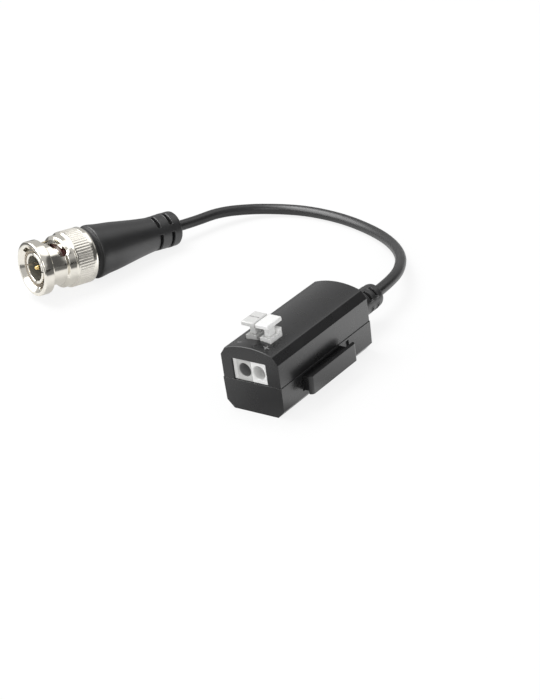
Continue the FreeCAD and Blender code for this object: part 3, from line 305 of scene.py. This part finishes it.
def soften(piece, width):
    """Small rounding on every real edge, with the flats kept flat."""
    weld = piece.modifiers.new("join_faces", "WELD")
    weld.merge_threshold = WELD_DISTANCE
    bevel = piece.modifiers.new("edge_round", "BEVEL")
    bevel.width = width * MM
    bevel.segments = EDGE_SEGMENTS
    bevel.limit_method = "ANGLE"
    bevel.angle_limit = EDGE_ANGLE
    bevel.use_clamp_overlap = False
    flats = piece.modifiers.new("flat_faces", "WEIGHTED_NORMAL")
    flats.weight = FLAT_WEIGHT


for node, material in NODE_MATERIALS.items():
    paint(NODES[node], material)
    NODES[node].data.shade_smooth()

# Width of the rounding on each node's edges
EDGE_ROUNDS = {
    "upper_shell": 0.16,
    "lower_shell": 0.05,
    "terminal_pole_minus": 0.06,
    "terminal_pole_plus": 0.06,
    "terminal_end_plate": 0.05,
}
for node, width in EDGE_ROUNDS.items():
    soften(NODES[node], width)


# Mesh helpers

JOIN_DISTANCE = 1e-7


def add_piece(name, verts, faces, material, body):
    piece = add_solid(name, verts, faces)
    piece.data.shade_smooth()
    paint(piece, material)
    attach(piece, body)
    return piece


def add_solid(name, verts, faces):
    """A mesh with its doubled points joined and its faces turned outwards."""
    mesh = bpy.data.meshes.new(name)
    mesh.from_pydata([tuple(vert) for vert in verts], [], faces)
    tidy = bmesh.new()
    tidy.from_mesh(mesh)
    bmesh.ops.remove_doubles(tidy, verts=tidy.verts, dist=JOIN_DISTANCE)
    bmesh.ops.recalc_face_normals(tidy, faces=tidy.faces)
    tidy.to_mesh(mesh)
    tidy.free()
    piece = bpy.data.objects.new(name, mesh)
    bpy.context.scene.collection.objects.link(piece)
    return piece


ARC_STEPS = 4
# The most of a side that one corner's rounding may take
CORNER_SHARE = 0.48


def rounded(corners):
    """A closed profile with each corner (radius, place, rounding) replaced by an arc."""
    points = []
    for index, (radius, place, size) in enumerate(corners):
        here = Vector((radius, place))
        if size <= 0:
            points.append(here)
            continue
        before = Vector(corners[index - 1][:2]) - here
        after = Vector(corners[(index + 1) % len(corners)][:2]) - here
        opening = before.angle(after)
        reach = min(size / math.tan(opening / 2), before.length * CORNER_SHARE, after.length * CORNER_SHARE)
        size = reach * math.tan(opening / 2)
        inward = (before.normalized() + after.normalized()).normalized()
        centre = here + inward * size / math.sin(opening / 2)
        start = here + before.normalized() * reach - centre
        sweep = start.angle_signed(here + after.normalized() * reach - centre)
        for step in range(ARC_STEPS + 1):
            points.append(centre + Matrix.Rotation(-sweep * step / ARC_STEPS, 2) @ start)
    return [(point.x, point.y) for point in points]


def lathe(profile, segments, matrix, shape=None):
    """A closed profile of (radius, place) turned round the local Y axis."""
    verts = []
    for radius, place in profile:
        for step in range(segments):
            turn = 2 * math.pi * step / segments
            reach = shape(radius, place, turn) if shape else radius
            verts.append(matrix @ Vector((reach * math.sin(turn), place, reach * math.cos(turn))) * MM)
    faces = []
    for row in range(len(profile)):
        here = row * segments
        following = (row + 1) % len(profile) * segments
        for step in range(segments):
            after = (step + 1) % segments
            faces.append((here + step, following + step, following + after, here + after))
    return verts, faces


def paint_ring(piece, material, places, limit):
    """Gives a second material to the faces between two places along the plug, inside a radius."""
    piece.data.materials.append(material)
    to_plug = PLUG.inverted()
    for face in piece.data.polygons:
        place = to_plug @ (face.center / MM)
        if places[0] < place.y < places[1] and math.hypot(place.x, place.z) < limit:
            face.material_index = len(piece.data.materials) - 1


def smooth_step(low, high, value):
    share = min(1.0, max(0.0, (value - low) / (high - low)))
    return share * share * (3 - 2 * share)


def profile_curve(knots, step):
    """A smooth profile through (place, radius) knots; step(place) is the distance between its points."""
    places = [place for place, _ in knots]
    points = []
    place = places[0]
    while place < places[-1]:
        index = max(i for i in range(len(knots) - 1) if places[i] <= place)
        before, start = knots[max(0, index - 1)], knots[index]
        end, after = knots[index + 1], knots[min(len(knots) - 1, index + 2)]
        span = end[0] - start[0]
        slope_in = (end[1] - before[1]) / (end[0] - before[0])
        slope_out = (after[1] - start[1]) / (after[0] - start[0])
        share = (place - start[0]) / span
        square, cube = share ** 2, share ** 3
        radius = ((2 * cube - 3 * square + 1) * start[1] + (cube - 2 * square + share) * span * slope_in
                  + (3 * square - 2 * cube) * end[1] + (cube - square) * span * slope_out)
        points.append((radius, place))
        place += step(place)
    points.append((knots[-1][1], places[-1]))
    return points


# Cable

def make_cable():
    data = bpy.data.curves.new("coax_lead", "CURVE")
    data.dimensions = "3D"
    data.bevel_depth = CABLE_DIAMETER / 2 * MM
    data.bevel_resolution = CABLE_SIDES
    data.resolution_u = CABLE_STEPS
    data.use_fill_caps = True
    spline = data.splines.new("NURBS")
    spline.points.add(len(CABLE_ROUTE) - 1)
    for point, place in zip(spline.points, CABLE_ROUTE):
        point.co = (*[value * MM for value in place], 1.0)
    spline.order_u = 3
    spline.use_endpoint_u = True
    cable = bpy.data.objects.new("coax_lead", data)
    bpy.context.scene.collection.objects.link(cable)
    data.materials.append(BLACK_JACKET)
    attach(cable, "housing")
    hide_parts("coax_cable")
    return cable


# Slotted tails: short slots in two rows, four to a row, with solid bridges between them

# (where the slot's middle is, half of its sweep), in degrees from the row's first slot
BOOT_SLOTS = [(0, 25), (85, 33), (180, 25), (265, 33)]
RELIEF_SLOTS = [(0, 25), (90, 25), (180, 25), (270, 25)]
SLOT_LIP = 0.09
LIP_REACH = 0.25
# Over how much of the length and of the turn a slot's wall rises
SLOT_WALL = 0.09
SLOT_SIDE = math.radians(2)
# Further than this from its rows, a tail keeps its plain profile
ROW_MARGIN = 1.0
# Rings: fine ones up to the end of the boot's rim and this far beyond the rows, coarse ones elsewhere
FINE_STEP = 0.075
COARSE_STEP = 0.4
RIM_END = 17.8
FINE_MARGIN = 0.6


def tail_shape(rows, width, core, turn, slots):
    """Radius of a tail with slots at the rows' places, and a low lip round each slot."""
    def window(place, angle, half_sweep, grow):
        along = max(smooth_step(row - grow - SLOT_WALL, row - grow + SLOT_WALL, place)
                    * (1 - smooth_step(row + width + grow - SLOT_WALL, row + width + grow + SLOT_WALL, place))
                    for row in rows)
        reach = math.radians(half_sweep) + grow / core
        return along * (1 - smooth_step(reach - SLOT_SIDE, reach + SLOT_SIDE, angle))

    def shape(radius, place, angle):
        if not rows[0] - ROW_MARGIN < place < rows[-1] + width + ROW_MARGIN or radius <= core:
            return radius
        offsets = [(abs((angle - turn - math.radians(middle) + math.pi) % (2 * math.pi) - math.pi), half)
                   for middle, half in slots]
        offset, half_sweep = min(offsets)
        raised = radius + SLOT_LIP * window(place, offset, half_sweep, LIP_REACH)
        return raised + (core - raised) * window(place, offset, half_sweep, 0.0)
    return shape


def tail_step(rows, width):
    """Fine rings across the slots and at the boot's front rim, coarse ones elsewhere."""
    def step(place):
        in_rows = rows[0] - FINE_MARGIN < place < rows[-1] + width + FINE_MARGIN
        return FINE_STEP if place < RIM_END or in_rows else COARSE_STEP
    return step


BOOT_SEGMENTS = 288
BOOT_ROWS = (35.95, 39.55)
BOOT_SLOT = 0.9
BOOT_CORE = 3.15
BOOT_TURN = math.radians(28)
BOOT_COLLAR = [(4.6, 15.85), (6.25, 15.85), (6.35, 15.97), (6.35, 16.5)]
BOOT_KNOTS = [
    (17.15, 6.36), (17.22, 6.8), (17.35, 6.96), (17.6, 7.02), (18.3, 6.97), (20.5, 6.6), (24.0, 6.2),
    (27.5, 5.65), (31.0, 5.1), (34.0, 4.7), (36.0, 4.52), (38.0, 4.6), (40.5, 4.62), (42.3, 4.6),
    (42.8, 4.4), (43.1, 4.05), (43.2, 3.7),
]
BOOT_BORE = [(1.5, 43.2), (1.5, 26.0), (2.7, 25.5), (2.7, 16.6), (4.6, 16.5)]
# The painted shade on the collar: where it is along the plug, and the radius that it stays inside
COLLAR_PLACES = (15.7, 17.2)
COLLAR_LIMIT = 6.75


def make_boot():
    profile = BOOT_COLLAR + profile_curve(BOOT_KNOTS, tail_step(BOOT_ROWS, BOOT_SLOT)) + BOOT_BORE
    shape = tail_shape(BOOT_ROWS, BOOT_SLOT, BOOT_CORE, BOOT_TURN, BOOT_SLOTS)
    verts, faces = lathe(profile, BOOT_SEGMENTS, PLUG, shape)
    boot = add_piece("moulded_boot", verts, faces, BLACK_BOOT, "housing")
    # Painted shade on the collar behind the nut
    paint_ring(boot, COLLAR_SHADE, COLLAR_PLACES, COLLAR_LIMIT)
    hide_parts("plug_boot")
    return boot


RELIEF_SEGMENTS = 240
RELIEF_ROWS = (25.7, 28.0)
RELIEF_SLOT = 0.65
RELIEF_CORE = 1.98
RELIEF_TURN = math.radians(40)
RELIEF_MOUTH = [(1.6, 17.45)]
RELIEF_KNOTS = [
    (17.45, 3.05), (18.7, 3.06), (22.0, 3.02), (26.0, 2.98), (30.0, 2.96), (30.5, 2.85), (30.8, 2.6),
    (30.95, 2.3), (31.0, 2.15),
]
RELIEF_BORE = [(1.45, 31.0), (1.45, 29.0)]


def make_relief():
    body = profile_curve(RELIEF_KNOTS, tail_step(RELIEF_ROWS, RELIEF_SLOT))
    profile = RELIEF_MOUTH + body + RELIEF_BORE
    shape = tail_shape(RELIEF_ROWS, RELIEF_SLOT, RELIEF_CORE, RELIEF_TURN, RELIEF_SLOTS)
    verts, faces = lathe(profile, RELIEF_SEGMENTS, RELIEF, shape)
    relief = add_piece("cable_boot", verts, faces, BLACK_BOOT, "housing")
    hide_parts("cable_relief")
    return relief


# Coupling nut: lengths run from its front face back, radii from the plug's axis, and turns in degrees

NUT_SEGMENTS = 480
FLANGE_RADIUS = 7.05
NECK_RADIUS = 5.9
SHOULDER_RADIUS = 6.75
GRIP_RADIUS = 7.25
MOUTH_RADIUS = 4.95
CHAMBER_RADIUS = 6.15
REAR_RADIUS = 5.7
STEM_RADIUS = 4.45
CHAMBER_FRONT = 7.6
CHAMBER_REAR = 12.95
WEB_REAR = 14.35
NUT_LENGTH = 15.8
KNURLS = 60
KNURL_DEPTH = 0.10
KNURL_START = 9.9
KNURL_END = 14.1
# The knurls fade out from this far inside the band to this far outside it
KNURL_INSIDE = 0.25
KNURL_OUTSIDE = 0.1
# Only what is further out than this is knurled
KNURL_LEAST = 7.0
KNURL_LIMIT = 7.4
# The painted shade in the nut's mouth: where it is along the plug, and the radius that it stays inside
MOUTH_PLACES = (0.8, 7.5)
MOUTH_LIMIT = 5.1
RAMP_HALF = 1.15
RAMP_TURN = -36.0
RAMP_SWEEP = 84.0
RAMP_START = 3.95
RAMP_RISE = 2.8
# Corners of the nut's section: (radius, place, rounding)
NUT_CORNERS = [
    (MOUTH_RADIUS, 0.95, 0.1),
    (6.15, 0.0, 0.12),
    (FLANGE_RADIUS, 0.0, 0.35),
    (FLANGE_RADIUS, 2.7, 0.35),
    (NECK_RADIUS, 3.1, 0.3),
    (NECK_RADIUS, 7.0, 0.15),
    (SHOULDER_RADIUS, 7.4, 0.25),
    (SHOULDER_RADIUS, 9.35, 0.1),
    (GRIP_RADIUS, 9.6, 0.12),
    (GRIP_RADIUS, KNURL_START - KNURL_OUTSIDE, 0),
    (GRIP_RADIUS, KNURL_START, 0),
    (GRIP_RADIUS, KNURL_START + KNURL_OUTSIDE, 0),
    (GRIP_RADIUS, KNURL_START + KNURL_INSIDE, 0),
    (GRIP_RADIUS, KNURL_END - KNURL_INSIDE, 0),
    (GRIP_RADIUS, KNURL_END - KNURL_OUTSIDE, 0),
    (GRIP_RADIUS, KNURL_END, 0),
    (GRIP_RADIUS, KNURL_END + KNURL_OUTSIDE, 0),
    (GRIP_RADIUS, 15.0, 0.3),
    (6.8, NUT_LENGTH, 0.25),
    (REAR_RADIUS, NUT_LENGTH, 0.1),
    (REAR_RADIUS, WEB_REAR, 0),
    (STEM_RADIUS, WEB_REAR, 0),
    (STEM_RADIUS, CHAMBER_REAR, 0),
    (CHAMBER_RADIUS, CHAMBER_REAR, 0),
    (CHAMBER_RADIUS, CHAMBER_FRONT, 0),
    (MOUTH_RADIUS, CHAMBER_FRONT, 0),
]


def knurl_shape(radius, place, turn):
    """Radius of the grip, with its fine ridges inside the knurled band."""
    band = (smooth_step(KNURL_START - KNURL_OUTSIDE, KNURL_START + KNURL_INSIDE, place)
            * (1 - smooth_step(KNURL_END - KNURL_INSIDE, KNURL_END + KNURL_OUTSIDE, place)))
    if radius < KNURL_LEAST or band <= 0:
        return radius
    return radius - KNURL_DEPTH * (1 - abs(math.sin(KNURLS * turn / 2))) * band


# Layers of the ramp cutter: (radius, how much wider the slot is there at its seat)
RAMP_LAYERS = [(4.2, 0.0), (6.35, 0.0), (6.75, 0.38), (7.15, 0.6)]
# How much wider the slot's middle is on its rear side
RAMP_BACK = 0.6
# Between which shares of the sweep the flare grows, and the wider middle grows and shrinks
FLARE_GROWS = (0.3, 0.8)
BACK_GROWS = (0.0, 0.35)
BACK_SHRINKS = (0.6, 1.0)
RAMP_STEPS = 28
RAMP_CAPS = 8


def ramp_cutter(name, turn):
    """A slot that curves round the neck to a round seat, and flares where it meets the shoulder."""
    caps = [math.pi / 2 * cap / RAMP_CAPS for cap in range(RAMP_CAPS)]
    stations = [(0.0, -math.cos(cap), math.sin(cap)) for cap in caps]
    stations += [(step / RAMP_STEPS, 0.0, 1.0) for step in range(RAMP_STEPS + 1)]
    stations += [(1.0, math.cos(cap), math.sin(cap)) for cap in reversed(caps)]
    verts = []
    for radius, flare in RAMP_LAYERS:
        heading = math.atan2(RAMP_RISE, math.radians(RAMP_SWEEP) * radius)
        for share, ahead, aside in stations:
            seat = RAMP_HALF + flare * smooth_step(*FLARE_GROWS, share)
            back = RAMP_BACK * smooth_step(*BACK_GROWS, share) * (1 - smooth_step(*BACK_SHRINKS, share))
            for side, half in ((-1, seat), (1, seat + back)):
                along = half * (ahead * math.cos(heading) - side * aside * math.sin(heading))
                across = half * (ahead * math.sin(heading) + side * aside * math.cos(heading))
                angle = math.radians(turn + RAMP_SWEEP * share) + along / radius
                place = RAMP_START + RAMP_RISE * share + across
                verts.append(PLUG @ Vector((radius * math.sin(angle), place, radius * math.cos(angle))) * MM)
    faces = []
    row = len(stations) * 2
    top = (len(RAMP_LAYERS) - 1) * row
    for number in range(len(stations) - 1):
        here = number * 2
        for base in (0, top):
            faces.append((base + here, base + here + 2, base + here + 3, base + here + 1))
        for layer in range(len(RAMP_LAYERS) - 1):
            for side in (0, 1):
                low = layer * row + here + side
                faces.append((low, low + 2, low + row + 2, low + row))
    return add_solid(name, verts, faces)


def block_cutter(name, low, high, turn=0.0):
    """A box in the plug's own frame, turned round its axis."""
    place = PLUG @ Matrix.Rotation(math.radians(turn), 4, "Y")
    verts = [place @ Vector((x, y, z)) * MM
             for x in (low[0], high[0]) for y in (low[1], high[1]) for z in (low[2], high[2])]
    return add_solid(name, verts, [(0, 1, 3, 2), (4, 6, 7, 5), (0, 4, 5, 1), (2, 3, 7, 6), (0, 2, 6, 4),
                                   (1, 5, 7, 3)])


CREASE = math.radians(38)


def carve(piece, cutters):
    """Cuts the cutters out of a piece for good, and creases its sharp edges."""
    for cutter in cutters:
        cut = piece.modifiers.new("cut", "BOOLEAN")
        cut.operation = "DIFFERENCE"
        cut.solver = "EXACT"
        cut.object = cutter
    graph = bpy.context.evaluated_depsgraph_get()
    carved = bpy.data.meshes.new_from_object(piece.evaluated_get(graph))
    piece.modifiers.clear()
    carved.set_sharp_from_angle(angle=CREASE)
    old = piece.data
    piece.data = carved
    bpy.data.meshes.remove(old)
    for cutter in cutters:
        data = cutter.data
        bpy.data.objects.remove(cutter)
        bpy.data.meshes.remove(data)


# The straight entry of each ramp slot: where it starts in front of the nut, and its inner and outer reach
STUD_ENTRY_START = -1
STUD_ENTRY_INNER = 1
STUD_ENTRY_OUTER = 5.6


def make_nut():
    verts, faces = lathe(rounded(NUT_CORNERS), NUT_SEGMENTS, PLUG, knurl_shape)
    nut = add_piece("bayonet_nut", verts, faces, NICKEL, "coupling_nut")
    paint_ring(nut, KNURL_NICKEL, (KNURL_START, KNURL_END), KNURL_LIMIT)
    paint_ring(nut, NUT_MOUTH_SHADE, MOUTH_PLACES, MOUTH_LIMIT)
    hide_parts("coupling_nut")
    low = (-RAMP_HALF, STUD_ENTRY_START, STUD_ENTRY_INNER)
    high = (RAMP_HALF, RAMP_START, STUD_ENTRY_OUTER)
    cutters = []
    for turn in (RAMP_TURN, RAMP_TURN + 180):
        cutters.append(ramp_cutter("ramp", turn))
        cutters.append(block_cutter("entry", low, high, turn))
    carve(nut, cutters)
    return nut


# Plug shell

SHELL_SEGMENTS = 192
CONTACT_BORE = 3.3
CONTACT_RADIUS = 4.08
CONTACT_FRONT = 0.9
CONTACT_REAR = 8.5
COLLAR_RADIUS = 5.8
COLLAR_REAR = 10.75
BARREL_RADIUS = 4.4
BARREL_REAR = 16.35
GROOVE_RADIUS = 4.0
GROOVE_FRONT = 14.4
GROOVE_REAR = 14.9
CRIMP_RADIUS = 2.0
CRIMP_BORE = 0.95
CRIMP_REAR = 22.0
INSULATOR_RADIUS = 2.4
INSULATOR_REAR = 15.05
# Corners of the shell's section: (radius, place, rounding)
SHELL_CORNERS = [
    (CONTACT_BORE, CONTACT_FRONT, 0.12),
    (CONTACT_RADIUS, CONTACT_FRONT, 0.2),
    (CONTACT_RADIUS, CONTACT_REAR, 0),
    (COLLAR_RADIUS, CONTACT_REAR, 0),
    (COLLAR_RADIUS, COLLAR_REAR, 0),
    (BARREL_RADIUS, COLLAR_REAR, 0),
    (BARREL_RADIUS, GROOVE_FRONT, 0),
    (GROOVE_RADIUS, GROOVE_FRONT, 0),
    (GROOVE_RADIUS, GROOVE_REAR, 0),
    (BARREL_RADIUS, GROOVE_REAR, 0),
    (BARREL_RADIUS, BARREL_REAR, 0),
    (CRIMP_RADIUS, BARREL_REAR, 0),
    (CRIMP_RADIUS, CRIMP_REAR, 0),
    (CRIMP_BORE, CRIMP_REAR, 0),
    (CRIMP_BORE, INSULATOR_REAR, 0),
    (INSULATOR_RADIUS, INSULATOR_REAR, 0),
    (INSULATOR_RADIUS, CONTACT_REAR, 0),
    (CONTACT_BORE, CONTACT_REAR, 0),
]
CONTACT_SLOT_HALF = 0.19
CONTACT_SLOT_START = -0.5
CONTACT_SLOT_END = 5.7
CONTACT_SLOT_REACH = 5.2
# The painted shade in the contact's bore: where it is along the plug, and the radius that it stays inside
CONTACT_SHADE_PLACES = (1.1, 8.4)
CONTACT_SHADE_LIMIT = 3.36


def make_shell():
    verts, faces = lathe(rounded(SHELL_CORNERS), SHELL_SEGMENTS, PLUG)
    shell = add_piece("plug_barrel", verts, faces, NICKEL, "housing")
    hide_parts("plug_shell")
    low = (-CONTACT_SLOT_HALF, CONTACT_SLOT_START, -CONTACT_SLOT_REACH)
    high = (CONTACT_SLOT_HALF, CONTACT_SLOT_END, CONTACT_SLOT_REACH)
    carve(shell, [block_cutter("slot", low, high, turn) for turn in (0, 90)])
    # Painted shade on the contact's inner bore
    paint_ring(shell, CONTACT_SHADE, CONTACT_SHADE_PLACES, CONTACT_SHADE_LIMIT)
    return shell


# Polarity marks moulded on the crown in front of the levers

MARK_HALF_LENGTH = 0.75
MARK_HALF_WIDTH = 0.14
MARK_RISE = 0.04
MARK_SINK = 0.02
# Share of a bar's width that is flat on top
MARK_FLAT = 0.6
MARK_STEPS = 6
# The marks' middles: how far to each side, and where along the case
MARK_ACROSS = 3.6
MARK_ALONG = -15.2
CROWN_HEIGHT = 16.0
ARCH_EDGE_HEIGHT = 14.9
ARCH_HALF_WIDTH = 6.35


def crown_height(x):
    """Height of the case's arched top at a place across it."""
    sag = CROWN_HEIGHT - ARCH_EDGE_HEIGHT
    radius = (ARCH_HALF_WIDTH ** 2 + sag ** 2) / (2 * sag)
    return CROWN_HEIGHT - radius + math.sqrt(radius ** 2 - x ** 2)


def add_mark(name, centre, bars):
    """Raised strokes that follow the crown: each bar is (half across, half along)."""
    section = ((-1, -MARK_SINK), (-MARK_FLAT, MARK_RISE), (MARK_FLAT, MARK_RISE), (1, -MARK_SINK))
    verts, faces = [], []
    for half_x, half_y in bars:
        first = len(verts)
        for step in range(MARK_STEPS + 1):
            x = centre[0] - half_x + 2 * half_x * step / MARK_STEPS
            for side, lift in section:
                place = Vector((x, centre[1] + half_y * side, crown_height(x) + lift))
                verts.append(place * MM)
        for step in range(MARK_STEPS):
            for corner in range(4):
                here = first + step * 4 + corner
                beside = first + step * 4 + (corner + 1) % 4
                faces.append((here, beside, beside + 4, here + 4))
        last = first + MARK_STEPS * 4
        faces += [(first, first + 1, first + 2, first + 3), (last + 3, last + 2, last + 1, last)]
    return add_piece(name, verts, faces, MARK, "housing")


LONG_BAR = (MARK_HALF_LENGTH, MARK_HALF_WIDTH)
CROSS_BAR = (MARK_HALF_WIDTH, MARK_HALF_LENGTH)

cable = make_cable()
boot = make_boot()
relief = make_relief()
nut = make_nut()
shell = make_shell()
add_mark("mark_minus", (-MARK_ACROSS, MARK_ALONG), [LONG_BAR])
add_mark("mark_plus", (MARK_ACROSS, MARK_ALONG), [LONG_BAR, CROSS_BAR])


# Floor: pale, with soft patches that only reflections see. Its half size is in metres, and the
# patches and distances are in millimetres.

FLOOR_HALF = 6.0
FLOOR_COLOR = (0.86, 0.86, 0.86, 1)
CAMERA_GLOW = 0.84
REFLECTED_GLOW = 0.35
# (centre x, centre y, radius where it is full, radius where it ends, share of glow, its strength)
FLOOR_PATCHES = [
    (-36.0, 18.0, 22.0, 31.0, 0.95, 0.12),
    (34.0, 38.0, 12.0, 55.0, 0.75, 2.5),
    (14.0, -7.0, 3.0, 9.0, 0.8, 2.0),
    (-60.0, 38.0, 8.0, 22.0, 0.9, 2.0),
    (1.0, -28.0, 4.0, 20.0, 0.85, 0.30),
]
# Reflections that reach the floor from further off, as the plug's do, see a darker floor
FAR_START = 42.0
FAR_FULL = 52.0
FAR_SHARE = 0.95
FAR_STRENGTH = 0.12


def blend_value(nodes, links, factor, before, after):
    """A value that goes from before (a number or a socket) to the number after."""
    mix = nodes.new("ShaderNodeMix")
    if isinstance(before, float):
        mix.inputs["A"].default_value = before
    else:
        links.new(before, mix.inputs["A"])
    mix.inputs["B"].default_value = after
    links.new(factor, mix.inputs["Factor"])
    return mix.outputs["Result"]


def make_floor():
    mesh = bpy.data.meshes.new("floor")
    mesh.from_pydata([(x * FLOOR_HALF, y * FLOOR_HALF, 0) for x, y in ((-1, -1), (1, -1), (1, 1), (-1, 1))],
                     [], [(0, 1, 2, 3)])
    floor = bpy.data.objects.new("floor", mesh)
    bpy.context.scene.collection.objects.link(floor)
    material = bpy.data.materials.new("floor_white")
    material.use_nodes = True
    nodes = material.node_tree.nodes
    links = material.node_tree.links
    nodes.clear()
    output = nodes.new("ShaderNodeOutputMaterial")
    diffuse = nodes.new("ShaderNodeBsdfDiffuse")
    diffuse.inputs["Color"].default_value = FLOOR_COLOR
    coords = nodes.new("ShaderNodeTexCoord")
    share, strength = REFLECTED_GLOW, 1.0
    for x, y, full, end, patch_share, patch_strength in FLOOR_PATCHES:
        reach = nodes.new("ShaderNodeVectorMath")
        reach.operation = "DISTANCE"
        reach.inputs[1].default_value = (x * MM, y * MM, 0)
        links.new(coords.outputs["Object"], reach.inputs[0])
        patch = nodes.new("ShaderNodeMapRange")
        patch.interpolation_type = "SMOOTHSTEP"
        patch.inputs["From Min"].default_value = full * MM
        patch.inputs["From Max"].default_value = end * MM
        patch.inputs["To Min"].default_value = 1.0
        patch.inputs["To Max"].default_value = 0.0
        links.new(reach.outputs["Value"], patch.inputs["Value"])
        share = blend_value(nodes, links, patch.outputs["Result"], share, patch_share)
        strength = blend_value(nodes, links, patch.outputs["Result"], strength, patch_strength)
    paths = nodes.new("ShaderNodeLightPath")
    far = nodes.new("ShaderNodeMapRange")
    far.inputs["From Min"].default_value = FAR_START * MM
    far.inputs["From Max"].default_value = FAR_FULL * MM
    links.new(paths.outputs["Ray Length"], far.inputs["Value"])
    share = blend_value(nodes, links, far.outputs["Result"], share, FAR_SHARE)
    strength = blend_value(nodes, links, far.outputs["Result"], strength, FAR_STRENGTH)
    level = nodes.new("ShaderNodeMix")
    level.inputs["A"].default_value = 1.0
    links.new(paths.outputs["Is Glossy Ray"], level.inputs["Factor"])
    links.new(strength, level.inputs["B"])
    glow = nodes.new("ShaderNodeEmission")
    links.new(level.outputs["Result"], glow.inputs["Strength"])
    seen = nodes.new("ShaderNodeMath")
    seen.operation = "MULTIPLY"
    seen.inputs[1].default_value = CAMERA_GLOW
    links.new(paths.outputs["Is Camera Ray"], seen.inputs[0])
    mirrored = nodes.new("ShaderNodeMath")
    mirrored.operation = "MULTIPLY"
    links.new(share, mirrored.inputs[1])
    links.new(paths.outputs["Is Glossy Ray"], mirrored.inputs[0])
    either = nodes.new("ShaderNodeMath")
    either.operation = "MAXIMUM"
    links.new(seen.outputs[0], either.inputs[0])
    links.new(mirrored.outputs[0], either.inputs[1])
    mix = nodes.new("ShaderNodeMixShader")
    links.new(either.outputs[0], mix.inputs["Fac"])
    links.new(diffuse.outputs[0], mix.inputs[1])
    links.new(glow.outputs[0], mix.inputs[2])
    links.new(mix.outputs[0], output.inputs["Surface"])
    mesh.materials.append(material)


# World: white to the camera, pale for light, and for reflections a studio with a dark wall and softboxes

LIGHT_LEVEL = 0.62
MIRROR_LEVEL = 0.58
SEEN_LEVEL = 1.0
# (direction, cosine where it starts, cosine where it is full, change of strength)
STUDIO_PATCHES = [
    ((0.760, 0.610, 0.220), 0.83, 0.895, -0.51),
    ((0.960, 0.270, 0.000), 0.93, 0.97, -0.40),
    ((0.240, 0.563, 0.790), 0.90, 0.945, 0.95),
    ((-0.569, -0.427, 0.666), 0.80, 0.92, 6.0),
]
# The least that a reflection of the studio may show
DARKEST = 0.10


def make_world():
    world = bpy.data.worlds.new("studio")
    bpy.context.scene.world = world
    world.use_nodes = True
    nodes = world.node_tree.nodes
    links = world.node_tree.links
    nodes.clear()
    output = nodes.new("ShaderNodeOutputWorld")
    coords = nodes.new("ShaderNodeTexCoord")
    strength = None
    for direction, start, full, change in STUDIO_PATCHES:
        facing = nodes.new("ShaderNodeVectorMath")
        facing.operation = "DOT_PRODUCT"
        facing.inputs[1].default_value = Vector(direction).normalized()
        links.new(coords.outputs["Generated"], facing.inputs[0])
        patch = nodes.new("ShaderNodeMapRange")
        patch.interpolation_type = "SMOOTHSTEP"
        patch.inputs["From Min"].default_value = start
        patch.inputs["From Max"].default_value = full
        patch.inputs["To Min"].default_value = 0.0
        patch.inputs["To Max"].default_value = change
        links.new(facing.outputs["Value"], patch.inputs["Value"])
        total = nodes.new("ShaderNodeMath")
        total.inputs[0].default_value = MIRROR_LEVEL
        if strength:
            links.new(strength, total.inputs[0])
        links.new(patch.outputs["Result"], total.inputs[1])
        strength = total.outputs[0]
    mirrored = nodes.new("ShaderNodeBackground")
    least = nodes.new("ShaderNodeMath")
    least.operation = "MAXIMUM"
    least.inputs[1].default_value = DARKEST
    links.new(strength, least.inputs[0])
    links.new(least.outputs[0], mirrored.inputs["Strength"])
    lighting = nodes.new("ShaderNodeBackground")
    lighting.inputs["Strength"].default_value = LIGHT_LEVEL
    seen = nodes.new("ShaderNodeBackground")
    seen.inputs["Strength"].default_value = SEEN_LEVEL
    for background in (mirrored, lighting, seen):
        background.inputs["Color"].default_value = (1, 1, 1, 1)
    paths = nodes.new("ShaderNodeLightPath")
    by_gloss = nodes.new("ShaderNodeMixShader")
    links.new(paths.outputs["Is Glossy Ray"], by_gloss.inputs["Fac"])
    links.new(lighting.outputs[0], by_gloss.inputs[1])
    links.new(mirrored.outputs[0], by_gloss.inputs[2])
    by_eye = nodes.new("ShaderNodeMixShader")
    links.new(paths.outputs["Is Camera Ray"], by_eye.inputs["Fac"])
    links.new(by_gloss.outputs[0], by_eye.inputs[1])
    links.new(seen.outputs[0], by_eye.inputs[2])
    links.new(by_eye.outputs[0], output.inputs["Surface"])


# Lamps: name, place and aim in metres, size, and power in watts
LAMPS = [
    ("key", (-0.35, 0.05, 0.75), (-0.04, 0.03, 0.0), (0.5, 0.5), 4.4),
    ("fill", (0.35, -0.75, 0.45), (-0.03, 0.02, 0.0), (0.45, 0.3), 1.9),
]


def add_lamp(name, place, aim, size, power):
    data = bpy.data.lights.new(name, "AREA")
    data.shape = "RECTANGLE"
    data.size = size[0]
    data.size_y = size[1]
    data.energy = power
    lamp = bpy.data.objects.new(name, data)
    lamp.location = place
    lamp.rotation_euler = (Vector(aim) - Vector(place)).to_track_quat("-Z", "Y").to_euler()
    bpy.context.scene.collection.objects.link(lamp)


make_floor()
make_world()
for lamp in LAMPS:
    add_lamp(*lamp)

bpy.context.scene.view_settings.view_transform = "Standard"
